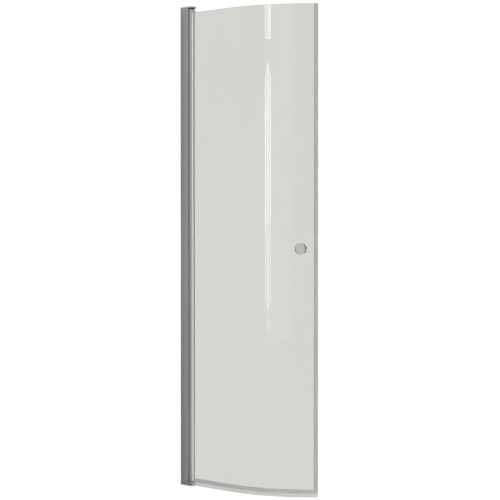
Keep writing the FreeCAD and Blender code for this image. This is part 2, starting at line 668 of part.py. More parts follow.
def clamp_covers():
    """Three round covers over the clamp screws."""
    covers = []
    for z in CLAMP_HEIGHTS:
        place = V(CLAMP_X, CHANNEL_HALF, z)
        outside = Part.makeCylinder(COVER_RADIUS, COVER_HEIGHT, place, V(0, 1, 0))
        face_y = CHANNEL_HALF + COVER_HEIGHT
        rim = [edge for edge in outside.Edges if abs(edge.BoundBox.YMin - face_y) < 0.01]
        outside = outside.makeChamfer(COVER_CHAMFER, rim)
        room = CLAMP_HEAD_HEIGHT + COVER_HEAD_FIT
        inside = Part.makeCylinder(CLAMP_HEAD_RADIUS + COVER_HEAD_FIT, room, place, V(0, 1, 0))
        covers.append(outside.cut(inside))
    return Part.makeCompound(covers)


def glass_pane():
    """Toughened pane with ground edges and a hole for the knob."""
    inner = GLASS_HALF - GLASS_ARRIS
    section = [
        (-inner, GLASS_BOTTOM),
        (inner, GLASS_BOTTOM),
        (GLASS_HALF, GLASS_BOTTOM + GLASS_ARRIS),
        (GLASS_HALF, GLASS_TOP - GLASS_ARRIS),
        (inner, GLASS_TOP),
        (-inner, GLASS_TOP),
        (-GLASS_HALF, GLASS_TOP - GLASS_ARRIS),
        (-GLASS_HALF, GLASS_BOTTOM + GLASS_ARRIS),
    ]
    pane = sweep_along_door(section, GLASS_START, GLASS_END)
    return pane.cut(knob_rod(KNOB_HOLE_RADIUS, -GLASS_THICKNESS, GLASS_THICKNESS))


def setting_blocks():
    """Three blocks between the edge of the glass and the root of the barrel's channel."""
    blocks = []
    low = ARM_BOTTOM + SETTING_END_DISTANCE
    high = ARM_TOP - SETTING_END_DISTANCE - SETTING_LENGTH
    for z in (low, (low + high) / 2, high):
        blocks.append(block(SLOT_ROOT, GLASS_EDGE, -GLASS_HALF, GLASS_HALF, z, z + SETTING_LENGTH))
    return Part.makeCompound(blocks)


def bond_tape():
    """Tape that holds the glass to the inner arm."""
    start = INNER_ARM_END - BOND_WIDTH
    return block(start, INNER_ARM_END, GLASS_HALF, INNER_ARM_INSIDE, ARM_BOTTOM, ARM_TOP)


def glazing_gasket():
    """Wedge gasket between the outer arm and the glass, with a bead that shows."""
    bead = OUTER_ARM_END + GASKET_BEAD
    section = [
        V(GLASS_EDGE, -OUTER_ARM_INSIDE, ARM_BOTTOM),
        V(OUTER_ARM_END, -OUTER_ARM_INSIDE, ARM_BOTTOM),
        V(OUTER_ARM_END, GASKET_LIP - OUTER_ARM_OUTSIDE, ARM_BOTTOM),
        V(bead, -GLASS_HALF - GASKET_LIP, ARM_BOTTOM),
        V(bead, -GLASS_HALF, ARM_BOTTOM),
        V(GLASS_EDGE, -GLASS_HALF, ARM_BOTTOM),
    ]
    return polygon(section).extrude(V(0, 0, ARM_TOP - ARM_BOTTOM))


def bottom_seal():
    """Carrier that grips the bottom of the glass, with a drip fin on the inside of the shower."""
    inside = GLASS_HALF + SEAL_FIT
    outside = inside + SEAL_WALL
    shoulder = GRIP_TOP - 2 * SEAL_WALL
    fin = outside + FIN_REACH
    fin_low = WEB_BOTTOM - FIN_DROP
    section = [
        (outside, WEB_BOTTOM),
        (outside, shoulder),
        (inside + SEAL_LIP, GRIP_TOP),
        (inside, GRIP_TOP),
        (inside, GLASS_BOTTOM),
        (-inside, GLASS_BOTTOM),
        (-inside, GRIP_TOP),
        (-inside - SEAL_LIP, GRIP_TOP),
        (-outside, shoulder),
        (-outside, WEB_BOTTOM + FIN_ROOT),
        (-fin, fin_low + FIN_TIP),
        (-fin, fin_low),
        (-outside, WEB_BOTTOM),
    ]
    grip = sweep_along_door(section, SEAL_START, SEAL_END)
    web = door_slab(SEAL_END, DOOR_END, -outside, outside, WEB_BOTTOM, GLASS_BOTTOM)
    return grip.fuse(web).removeSplitter()


def bottom_wiper():
    """Soft lip under the carrier, leaning inwards, with a rounded corner at the free end."""
    section = [
        (WIPER_ROOT / 2, WEB_BOTTOM),
        (-WIPER_ROOT / 2, WEB_BOTTOM),
        (-WIPER_LEAN - WIPER_TIP / 2, WIPER_FLOOR_GAP),
        (-WIPER_LEAN + WIPER_TIP / 2, WIPER_FLOOR_GAP),
    ]
    lip = sweep_along_door(section, SEAL_START, DOOR_END)
    corner = door_point(DOOR_END, -WIPER_LEAN, WIPER_FLOOR_GAP)
    nearest = min(lip.Edges, key=lambda edge: edge.CenterOfMass.distanceToPoint(corner))
    return lip.makeFillet(WIPER_CORNER, [nearest])


def magnet_seal():
    """Clear strip that grips the free edge of the glass and holds the magnet in a chamber."""
    inside = GLASS_HALF + SEAL_FIT
    outside = inside + SEAL_WALL
    half = MAGNET_CHAMBER_WIDTH / 2
    low = GLASS_BOTTOM
    high = GLASS_TOP
    chamber = door_slab(GLASS_END, DOOR_END, -half, half, low, high)
    corners = [door_point(DOOR_END, offset, 0) for offset in (-half, half)]
    places = [(point.x, point.y) for point in corners]
    strip = chamber.makeFillet(MAGNET_ROUND, upright_edges(chamber, places))
    for side in (-1, 1):
        near = min(side * inside, side * outside)
        far = max(side * inside, side * outside)
        strip = strip.fuse(door_slab(MAGNET_START, GLASS_END, near, far, low, high))
    wall = MAGNET_WALL
    pocket = door_slab(GLASS_END + wall, DOOR_END - wall, wall - half, half - wall, low, high)
    return strip.cut(pocket).removeSplitter()


def magnet_strip():
    """Flexible magnet in the chamber of the magnet seal."""
    room = MAGNET_WALL + MAGNET_FIT
    half = MAGNET_CHAMBER_WIDTH / 2 - room
    return door_slab(GLASS_END + room, DOOR_END - room, -half, half, GLASS_BOTTOM, GLASS_TOP)


def on_knob_axis(shape):
    """Moves a shape from the upright axis at the origin to the knob's axis, outside upwards."""
    outward = door_point(KNOB_PLACE, 1, 0) - door_point(KNOB_PLACE, 0, 0)
    turn = FreeCAD.Rotation(UP, outward)
    move = FreeCAD.Placement(door_point(KNOB_PLACE, 0, KNOB_HEIGHT), turn)
    shape.Placement = move.multiply(shape.Placement)
    return shape


def knob_rod(radius, low, high):
    """Cylinder on the knob's axis between two offsets from the middle of the pane."""
    return on_knob_axis(Part.makeCylinder(radius, high - low, V(0, 0, low), UP))


def knob_body():
    """Turned knob that stands upright on the origin: bevelled edges and a hole for the stud."""
    section = [
        V(0, 0, 0),
        V(KNOB_RADIUS - KNOB_BASE_CHAMFER, 0, 0),
        V(KNOB_RADIUS, 0, KNOB_BASE_CHAMFER),
        V(KNOB_RADIUS, 0, KNOB_LENGTH - KNOB_BEVEL),
        V(KNOB_RADIUS - KNOB_BEVEL, 0, KNOB_LENGTH),
        V(0, 0, KNOB_LENGTH),
    ]
    body = polygon(section).revolve(V(0, 0, 0), UP, 360)
    return body.cut(Part.makeCylinder(STUD_RADIUS + STUD_FIT, STUD_BITE, V(0, 0, 0), UP))


def knob_outer():
    """Knob on the outside of the glass."""
    knob = knob_body()
    knob.translate(V(0, 0, WASHER_TOP))
    return on_knob_axis(knob)


def grub_shape(fit):
    """Grub screw, or its hole, in the inner knob, from its lowest point up to the stud."""
    outward = door_point(KNOB_PLACE, 1, 0) - door_point(KNOB_PLACE, 0, 0)
    middle = door_point(KNOB_PLACE, 0, KNOB_HEIGHT) - outward * GRUB_OFFSET
    reach = KNOB_RADIUS if fit else STUD_RADIUS + STUD_FIT + GRUB_LENGTH
    start = middle - UP * (STUD_RADIUS + STUD_FIT)
    length = reach - STUD_RADIUS - STUD_FIT
    return Part.makeCylinder(GRUB_RADIUS + fit, length, start, UP * -1)


def knob_inner():
    """Knob on the inside of the glass, fixed to the stud by a grub screw."""
    knob = knob_body()
    knob.rotate(V(0, 0, 0), V(1, 0, 0), 180)
    knob.translate(V(0, 0, -WASHER_TOP))
    return on_knob_axis(knob).cut(grub_shape(GRUB_FIT))


def knob_grub_screw():
    """Grub screw that grips the stud."""
    return grub_shape(0)


def knob_stud():
    """Stud through the glass, which joins the two knobs."""
    end = WASHER_TOP + STUD_BITE
    return knob_rod(STUD_RADIUS, -end, end)


def knob_sleeve():
    """Sleeve that keeps the stud off the edge of the hole in the glass."""
    end = WASHER_TOP
    sleeve = knob_rod(KNOB_HOLE_RADIUS - SLEEVE_FIT, -end, end)
    return sleeve.cut(knob_rod(STUD_RADIUS + STUD_FIT, -end, end))


def knob_washer(low, high, pane):
    """Soft washer between a knob and the glass, shaped to the curve of the pane."""
    hole = KNOB_HOLE_RADIUS + KNOB_WASHER_MARGIN
    washer = knob_rod(KNOB_WASHER_RADIUS, low, high).cut(knob_rod(hole, low, high))
    return washer.cut(pane)


os.makedirs("parts", exist_ok=True)

PANE = glass_pane()

NODES = {
    "wall_profile": wall_profile(),
    "hinge_post": hinge_post(),
    "barrel_seal": barrel_seal(),
    "top_cap": top_cap(),
    "cap_screws": cap_screws(),
    "upper_pivot_pin": upper_pivot_pin(),
    "foot": foot(),
    "foot_screws": foot_screws(),
    "lower_bush": lower_bush(),
    "lift_cam": lift_cam(),
    "clamp_screws": clamp_screws(),
    "clamp_covers": clamp_covers(),
    "lower_pivot_pin": lower_pivot_pin(),
    "pivot_clip": pivot_clip(),
    "hinge_barrel": hinge_barrel(),
    "barrel_top_plug": barrel_top_plug(),
    "cam_follower": cam_follower(),
    "plug_screws": plug_screws(),
    "glass_pane": PANE,
    "setting_blocks": setting_blocks(),
    "bond_tape": bond_tape(),
    "glazing_gasket": glazing_gasket(),
    "bottom_seal": bottom_seal(),
    "bottom_wiper": bottom_wiper(),
    "magnet_seal": magnet_seal(),
    "magnet_strip": magnet_strip(),
    "knob_outer": knob_outer(),
    "knob_inner": knob_inner(),
    "knob_stud": knob_stud(),
    "knob_sleeve": knob_sleeve(),
    "knob_washer_outer": knob_washer(GLASS_HALF / 2, WASHER_TOP, PANE),
    "knob_washer_inner": knob_washer(-WASHER_TOP, -GLASS_HALF / 2, PANE),
    "knob_grub_screw": knob_grub_screw(),
}

for name, shape in NODES.items():
    shape.exportStep(os.path.join("parts", name + ".step"))
    print(name, len(shape.Solids), round(shape.Volume, 2), shape.isValid())
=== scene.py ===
"""Looks of a curved glass shower door that is hinged on a wall post.

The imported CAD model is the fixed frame. The visible pieces are rebuilt here with rounded edges and
fine curves, and every other node keeps its CAD shape and gets a finish. Lengths are in metres: the
wall is the plane X = 0, the floor is Z = 0, and the door curves towards +Y, the inside of the shower.
"""

import logging
import math
from dataclasses import dataclass
from enum import Enum
from typing import Callable, Sequence

import bmesh
import bpy
from mathutils import Matrix, Vector


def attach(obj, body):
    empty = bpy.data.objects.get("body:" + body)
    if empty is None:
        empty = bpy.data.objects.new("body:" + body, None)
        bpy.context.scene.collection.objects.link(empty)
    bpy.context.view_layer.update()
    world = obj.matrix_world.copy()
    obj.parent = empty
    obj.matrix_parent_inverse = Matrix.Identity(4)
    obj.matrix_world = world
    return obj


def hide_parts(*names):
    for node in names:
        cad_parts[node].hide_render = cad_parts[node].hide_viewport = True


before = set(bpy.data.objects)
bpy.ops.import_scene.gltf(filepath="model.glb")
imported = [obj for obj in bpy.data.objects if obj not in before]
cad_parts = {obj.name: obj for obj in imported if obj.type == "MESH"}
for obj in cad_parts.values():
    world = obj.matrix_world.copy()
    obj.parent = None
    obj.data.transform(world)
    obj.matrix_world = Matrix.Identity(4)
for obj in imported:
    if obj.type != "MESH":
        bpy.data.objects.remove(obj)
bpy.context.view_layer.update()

MM = 0.001
SHARP_ANGLE = 28.0
WELD_DISTANCE = 1e-7
WHITE = (1.0, 1.0, 1.0)
LOG = logging.getLogger("shower_door")

Point = tuple[float, float]
Corner = tuple[float, float, float]
Colour = tuple[float, float, float]
Mesh = bmesh.types.BMesh
Node = bpy.types.Node
Socket = bpy.types.NodeSocket
Value = Socket | float | Sequence[float]
Inputs = dict[str | int, Value]


class Body(Enum):
    """Bodies of the CAD model that a rebuilt piece can ride on."""

    WALL_POST = "wall_post"
    DOOR = "door"


class Slot(Enum):
    """Material slots that the finishes name."""

    SATIN_ALUMINIUM = "satin_aluminium"
    CAST_METAL = "cast_metal"
    GREY_PLASTIC = "grey_plastic"
    BEARING_PLASTIC = "bearing_plastic"
    STEEL = "steel"
    GLASS = "glass"
    CLEAR_PVC = "clear_pvc"
    SOFT_PVC = "soft_pvc"
    MAGNET = "magnet"
    BOND_TAPE = "bond_tape"
    KNOB_METAL = "knob_metal"


class Operation(Enum):
    """Ways to combine two closed meshes."""

    CUT = "DIFFERENCE"
    JOIN = "UNION"


# Node trees


class Tree:
    """A node tree with short calls for adding and linking nodes."""

    def __init__(self, tree: bpy.types.NodeTree) -> None:
        """Empties the tree that is to be filled."""
        self.tree = tree
        tree.nodes.clear()

    def add(self, kind: str, inputs: Inputs | None = None, **settings: object) -> Node:
        """Adds a node.

        Args:
            kind: Blender's name of the node type, without its ShaderNode prefix.
            inputs: a socket to link or a constant for each input, by its name or number.
            settings: properties of the node, such as operation or data_type.

        Returns:
            The new node.
        """
        node = self.tree.nodes.new(kind if kind.startswith("Node") else "ShaderNode" + kind)
        for name, value in settings.items():
            setattr(node, name, value)
        for name, value in (inputs or {}).items():
            self.feed(value, node.inputs[name])
        return node

    def feed(self, value: Value, target: Socket) -> None:
        """Links a socket to an input, or sets the input to a constant.

        Args:
            value: the socket or the constant, where a colour has three numbers.
            target: the input.
        """
        if isinstance(value, Socket):
            self.tree.links.new(value, target)
        elif target.type == "RGBA":
            target.default_value = (*value, 1.0)
        else:
            target.default_value = value

    def where(self) -> Socket:
        """Place on the object, in metres."""
        return self.add("TexCoord").outputs["Object"]

    def stretched(self, stretch: Value) -> Socket:
        """Place on the object, stretched along each axis."""
        return self.add("VectorMath", {0: self.where(), 1: stretch}, operation="MULTIPLY").outputs[0]

    def noise(self, inputs: Inputs, **settings: object) -> Socket:
        """Grey value of a new Noise Texture with these inputs and settings."""
        return self.add("TexNoise", inputs, **settings).outputs["Fac"]

    def group(self, group: bpy.types.NodeTree, **inputs: Value) -> Node:
        """Places a node group with these inputs."""
        return self.add("Group", inputs, node_tree=group)

    def maths(self, operation: str, first: Value, second: Value) -> Socket:
        """Result of a new Math node with this operation on two values."""
        return self.add("Math", {0: first, 1: second}, operation=operation).outputs[0]

    def remap(
        self, value: Socket, low: float, high: float, to_low: float = 0.0, to_high: float = 1.0
    ) -> Socket:
        """Moves a value from one range to another, held inside the new range.

        Args:
            value: the value to move.
            low: value that becomes to_low.
            high: value that becomes to_high.
            to_low: start of the new range.
            to_high: end of the new range.

        Returns:
            The value in its new range.
        """
        inputs = {"Value": value, "From Min": low, "From Max": high, "To Min": to_low, "To Max": to_high}
        return self.add("MapRange", inputs).outputs["Result"]

    def blend(self, share: Socket, first: Value, second: Value) -> Socket:
        """Mixes two colours by the share of the second."""
        return self.add("Mix", {"Factor": share, 6: first, 7: second}, data_type="RGBA").outputs[2]

    def pick(self, share: Socket, first: Value, second: Value) -> Socket:
        """Mixes two numbers by the share of the second."""
        return self.add("Mix", {"Factor": share, 2: first, 3: second}, data_type="FLOAT").outputs[0]

    def bump(self, height: Socket, depth: float, strength: float) -> Socket:
        """Normal of a relief from 0 to 1, with the depth in metres that 1 stands for."""
        inputs = {"Strength": strength, "Distance": depth, "Height": height}
        return self.add("Bump", inputs).outputs["Normal"]

    def mixed(self, share: Socket, first: Node, second: Node) -> Node:
        """Mixes two shaders by the share of the second."""
        return self.add("MixShader", {0: share, 1: first.outputs[0], 2: second.outputs[0]})

    def surface(self, shader: Node, output: str = "OutputMaterial") -> None:
        """Shows a shader at the tree's output."""
        self.add(output, {"Surface": shader.outputs[0]})


def new_group(name: str, inputs: dict[str, Value], outputs: Sequence[str]) -> tuple[Tree, Node]:
    """Starts a shader node group.

    Args:
        name: the group's name.
        inputs: default value of each input, a number or a vector.
        outputs: names of its outputs, all of them numbers.

    Returns:
        The tree and its input node.
    """
    group = bpy.data.node_groups.new(name, "ShaderNodeTree")
    for label, value in inputs.items():
        kind = "NodeSocketFloat" if isinstance(value, float) else "NodeSocketVector"
        group.interface.new_socket(label, in_out="INPUT", socket_type=kind).default_value = value
    for label in outputs:
        group.interface.new_socket(label, in_out="OUTPUT", socket_type="NodeSocketFloat")
    tree = Tree(group)
    return tree, tree.add("NodeGroupInput")


def new_material(name: str) -> tuple[bpy.types.Material, Tree]:
    """Starts a material.

    Args:
        name: the material's name.

    Returns:
        The material and its empty tree.
    """
    material = bpy.data.materials.new(name)
    material.use_nodes = True
    return material, Tree(material.node_tree)


# Finishes


UPRIGHT_LINES = (1500.0, 1500.0, 3.0)
LEVEL_LINES = (4.0, 4.0, 1500.0)


class Effects:
    """Surface effects that several finishes share, each built once as a node group."""

    def __init__(self) -> None:
        """Builds all the groups."""
        self.drawn_lines = self._drawn_lines()
        self.moulded_grain = self._moulded_grain()
        self.edge_wear = self._edge_wear()
        self.water_marks = self._water_marks()

    @staticmethod
    def _drawn_lines() -> bpy.types.NodeTree:
        """Fine lines that an extrusion die leaves along a profile.

        Returns:
            The group.
        """
        tree, entry = new_group("drawn_lines", {"Density": UPRIGHT_LINES}, ("Mask", "Height"))
        along = tree.stretched(entry.outputs["Density"])
        fine = tree.noise({"Vector": along, "Scale": 1.0, "Detail": 3.0, "Roughness": 0.65})
        coarse = tree.noise({"Vector": along, "Scale": 0.04, "Detail": 1.0})
        both = tree.maths("ADD", tree.maths("MULTIPLY", fine, 0.55), tree.maths("MULTIPLY", coarse, 0.45))
        tree.add("NodeGroupOutput", {"Mask": tree.remap(both, 0.36, 0.64), "Height": fine})
        return tree.tree

    @staticmethod
    def _moulded_grain() -> bpy.types.NodeTree:
        """Fine pebbled grain of a moulded or cast surface.

        Returns:
            The group.
        """
        tree, entry = new_group("moulded_grain", {"Scale": 900.0}, ("Mask", "Height"))
        where, scale = tree.where(), entry.outputs["Scale"]
        inputs = {"Vector": where, "Scale": scale, "Smoothness": 0.6}
        pebbles = tree.add("TexVoronoi", inputs, feature="SMOOTH_F1").outputs["Distance"]
        cloud = tree.noise({"Vector": where, "Scale": tree.maths("MULTIPLY", scale, 0.06), "Detail": 4.0})
        tree.add("NodeGroupOutput", {"Mask": tree.remap(cloud, 0.35, 0.65), "Height": pebbles})
        return tree.tree

    @staticmethod
    def _edge_wear() -> bpy.types.NodeTree:
        """Rubbed edges, broken up so that they are not an even line.

        Returns:
            The group.
        """
        tree, entry = new_group("edge_wear", {"Gain": 4.0}, ("Mask",))
        sharp = tree.add("NewGeometry").outputs["Normal"]
        soft = tree.add("Bevel", {"Radius": 0.8 * MM}, samples=4).outputs["Normal"]
        match = tree.add("VectorMath", {0: sharp, 1: soft}, operation="DOT_PRODUCT").outputs["Value"]
        away = tree.maths("SUBTRACT", 1.0, match)
        patches = tree.noise({"Vector": tree.where(), "Scale": 60.0, "Detail": 3.0})
        broken = tree.remap(patches, 0.3, 0.7, 0.35, 1.0)
        worn = tree.maths("MULTIPLY", tree.maths("MULTIPLY", away, entry.outputs["Gain"]), broken)
        tree.add("NodeGroupOutput", {"Mask": tree.remap(worn, 0.0, 1.0)})
        return tree.tree

    @staticmethod
    def _water_marks() -> bpy.types.NodeTree:
        """Faint dried film of water, in soft patches with upright runs.

        Returns:
            The group.
        """
        tree, entry = new_group("water_marks", {"Scale": 9.0}, ("Mask",))
        runs, scale = tree.stretched((1.0, 1.0, 0.25)), entry.outputs["Scale"]
        cloud = tree.noise({"Vector": runs, "Scale": scale, "Detail": 5.0, "Roughness": 0.55})
        tree.add("NodeGroupOutput", {"Mask": tree.remap(cloud, 0.45, 0.75)})
        return tree.tree


@dataclass(frozen=True)
class Finish:
    """Finish of a piece, which varies between two shades."""

    name: str
    slot: Slot
    dark: Colour
    light: Colour

    def rubbed(self, gain: float, lift: float = 0.0) -> Colour:
        """Shade of its rubbed edges."""
        return tuple(min(1.0, value * gain + lift) for value in self.light)

    def inputs(self, tree: Tree, effects: Effects) -> Inputs:
        """Works out the inputs of the finish's Principled shader.

        Args:
            tree: the material's tree.
            effects: the effects that finishes share.

        Returns:
            The socket or constant of each input that differs from the shader's own.
        """
        raise NotImplementedError

    def material(self, effects: Effects) -> bpy.types.Material:
        """Builds the material.

        Args:
            effects: the effects that finishes share.

        Returns:
            The material.
        """
        material, tree = new_material(self.name)
        tree.surface(tree.add("BsdfPrincipled", self.inputs(tree, effects)))
        return material


@dataclass(frozen=True)
class DrawnMetal(Finish):
    """Satin metal with the fine lines of an extrusion."""

    density: Corner
    smooth: float = 0.32
    rough: float = 0.42
    line_depth: float = 0.02 * MM
    line_strength: float = 0.35
    wear: float = 3.0
    wear_gain: float = 1.25
    film: float = 0.05
    film_scale: float = 14.0

    def inputs(self, tree: Tree, effects: Effects) -> Inputs:
        """Lines along the profile, brighter edges and a film of dried water.

        Args:
            tree: the material's tree.
            effects: the effects that finishes share.

        Returns:
            The shader's inputs.
        """
        lines = tree.group(effects.drawn_lines, Density=self.density).outputs
        wear = tree.group(effects.edge_wear, Gain=self.wear).outputs["Mask"]
        marks = tree.group(effects.water_marks, Scale=self.film_scale).outputs["Mask"]
        drawn = tree.blend(lines["Mask"], self.dark, self.light)
        satin = tree.remap(lines["Mask"], 0.0, 1.0, self.rough, self.smooth)
        return {
            "Base Color": tree.blend(wear, drawn, self.rubbed(self.wear_gain)),
            "Roughness": tree.maths("ADD", satin, tree.maths("MULTIPLY", marks, self.film)),
            "Normal": tree.bump(lines["Height"], self.line_depth, self.line_strength),
            "Metallic": 1.0,
        }


@dataclass(frozen=True)
class TurnedMetal(Finish):
    """Metal with the rings that a lathe leaves about an axis."""

    axis_place: Corner
    ring_pitch: float = 0.35 * MM
    smooth: float = 0.22
    rough: float = 0.34
    # Dark colour painted as shade where nearby parts hem the surface in.
    crevice_shade: Colour | None = None
    crevice_shade_reach: float = 8.0 * MM
    ring_depth: float = 0.01 * MM
    ring_strength: float = 0.4
    wear: float = 2.0
    wear_gain: float = 1.15
    film: float = 0.06
    film_scale: float = 40.0

    def inputs(self, tree: Tree, effects: Effects) -> Inputs:
        """Rings about the axis, brighter edges, a film of dried water and painted shade in narrow places.

        Args:
            tree: the material's tree.
            effects: the effects that finishes share.

        Returns:
            The shader's inputs.
        """
        centred = tree.add("VectorMath", {0: tree.where(), 1: self.axis_place}, operation="SUBTRACT")
        reach = tree.add("VectorMath", {0: centred.outputs[0]}, operation="LENGTH").outputs["Value"]
        pattern = {"W": reach, "Scale": 1.0 / self.ring_pitch, "Detail": 2.0}
        rings = tree.noise(pattern, noise_dimensions="1D")
        share = tree.remap(rings, 0.35, 0.65)
        wear = tree.group(effects.edge_wear, Gain=self.wear).outputs["Mask"]
        marks = tree.group(effects.water_marks, Scale=self.film_scale).outputs["Mask"]
        shade = tree.blend(share, self.dark, self.light)
        shade = tree.blend(wear, shade, self.rubbed(self.wear_gain))
        # Painted shade: ambient occlusion darkens the colour in narrow places, such as the pin in the gap
        # under the cap.
        if self.crevice_shade:
            narrow = tree.add("AmbientOcclusion", {"Distance": self.crevice_shade_reach}, samples=8).outputs["AO"]
            shade = tree.blend(tree.remap(narrow, 0.4, 0.75, 1.0, 0.0), shade, self.crevice_shade)
        satin = tree.remap(share, 0.0, 1.0, self.rough, self.smooth)
        return {
            "Base Color": shade,
            "Roughness": tree.maths("ADD", satin, tree.maths("MULTIPLY", marks, self.film)),
            "Normal": tree.bump(rings, self.ring_depth, self.ring_strength),
            "Metallic": 1.0,
        }


@dataclass(frozen=True)
class GrainedMetal(Finish):
    """Cast metal with a satin lacquer and a fine grain, and painted shade on its faces that point down."""

    # underside: dark colour painted on faces that point down, as the shade under the cap.
    underside: Colour
    grain: float = 1400.0
    smooth: float = 0.38
    rough: float = 0.48
    relief: float = 0.03 * MM
    relief_strength: float = 0.3
    wear: float = 3.0
    wear_gain: float = 1.25

    def inputs(self, tree: Tree, effects: Effects) -> Inputs:
        """Grain, brighter edges and painted shade on faces that point down.

        Args:
            tree: the material's tree.
            effects: the effects that finishes share.

        Returns:
            The shader's inputs.
        """
        grain = tree.group(effects.moulded_grain, Scale=self.grain).outputs
        wear = tree.group(effects.edge_wear, Gain=self.wear).outputs["Mask"]
        cast = tree.blend(grain["Mask"], self.dark, self.light)
        worn = tree.blend(wear, cast, self.rubbed(self.wear_gain))
        # Painted shade: the more a face points down, the more it takes the dark underside colour.
        upward = tree.add("SeparateXYZ", {0: tree.add("NewGeometry").outputs["Normal"]}).outputs["Z"]
        painted_under_shade = tree.remap(upward, -0.3, -0.6)
        return {
            "Base Color": tree.blend(painted_under_shade, worn, self.underside),
            "Roughness": tree.remap(grain["Mask"], 0.0, 1.0, self.rough, self.smooth),
            "Normal": tree.bump(grain["Height"], self.relief, self.relief_strength),
            "Metallic": 1.0,
        }


@dataclass(frozen=True)
class MouldedPlastic(Finish):
    """Opaque moulded plastic or rubber with a fine grain."""

    grain: float = 900.0
    roughness: float = 0.5
    spread: float = 0.06
    relief: float = 0.05 * MM
    relief_strength: float = 0.35
    wear: float = 2.0
    wear_gain: float = 1.35
    wear_lift: float = 0.01

    def inputs(self, tree: Tree, effects: Effects) -> Inputs:
        """Grain and paler edges.

        Args:
            tree: the material's tree.
            effects: the effects that finishes share.

        Returns:
            The shader's inputs.
        """
        grain = tree.group(effects.moulded_grain, Scale=self.grain).outputs
        wear = tree.group(effects.edge_wear, Gain=self.wear).outputs["Mask"]
        moulded = tree.blend(grain["Mask"], self.dark, self.light)
        rough, smooth = self.roughness + self.spread, self.roughness - self.spread
        return {
            "Base Color": tree.blend(wear, moulded, self.rubbed(self.wear_gain, self.wear_lift)),
            "Roughness": tree.remap(grain["Mask"], 0.0, 1.0, rough, smooth),
            "Normal": tree.bump(grain["Height"], self.relief, self.relief_strength),
        }


@dataclass(frozen=True)
class ClearPlastic(Finish):
    """Clear or milky material, such as extruded plastic, with lines along its length."""

    density: Corner
    clearness: float = 0.9
    roughness: float = 0.18
    ior: float = 1.5
    line_depth: float = 0.02 * MM
    line_strength: float = 0.25
    film: float = 0.08
    film_scale: float = 25.0

    def inputs(self, tree: Tree, effects: Effects) -> Inputs:
        """Lines along the length and a film of dried water.

        Args:
            tree: the material's tree.
            effects: the effects that finishes share.

        Returns:
            The shader's inputs.
        """
        lines = tree.group(effects.drawn_lines, Density=self.density).outputs
        marks = tree.group(effects.water_marks, Scale=self.film_scale).outputs["Mask"]
        return {
            "Base Color": tree.blend(lines["Mask"], self.dark, self.light),
            "Roughness": tree.remap(marks, 0.0, 1.0, self.roughness, self.roughness + self.film),
            "Normal": tree.bump(lines["Height"], self.line_depth, self.line_strength),
            "Transmission Weight": self.clearness,
            "IOR": self.ior,
        }


@dataclass(frozen=True)
class PaneGlass(Finish):
    """Toughened float glass with a faint green tint and a slight roller wave."""

    ior: float = 1.5
    wave_scale: float = 7.0
    wave_depth: float = 0.01 * MM
    film_scale: float = 6.0

    def inputs(self, tree: Tree, effects: Effects) -> Inputs:
        """Tint with faint marks of dried water, and the wave.

        Args:
            tree: the material's tree.
            effects: the effects that finishes share.

        Returns:
            The shader's inputs.
        """
        marks = tree.group(effects.water_marks, Scale=self.film_scale).outputs["Mask"]
        wave = tree.noise({"Vector": tree.where(), "Scale": self.wave_scale, "Detail": 0.0})
        return {
            "Base Color": tree.blend(marks, self.light, self.dark),
            "Roughness": 0.0,
            "Normal": tree.bump(wave, self.wave_depth, 1.0),
            "Transmission Weight": 1.0,
            "IOR": self.ior,
        }


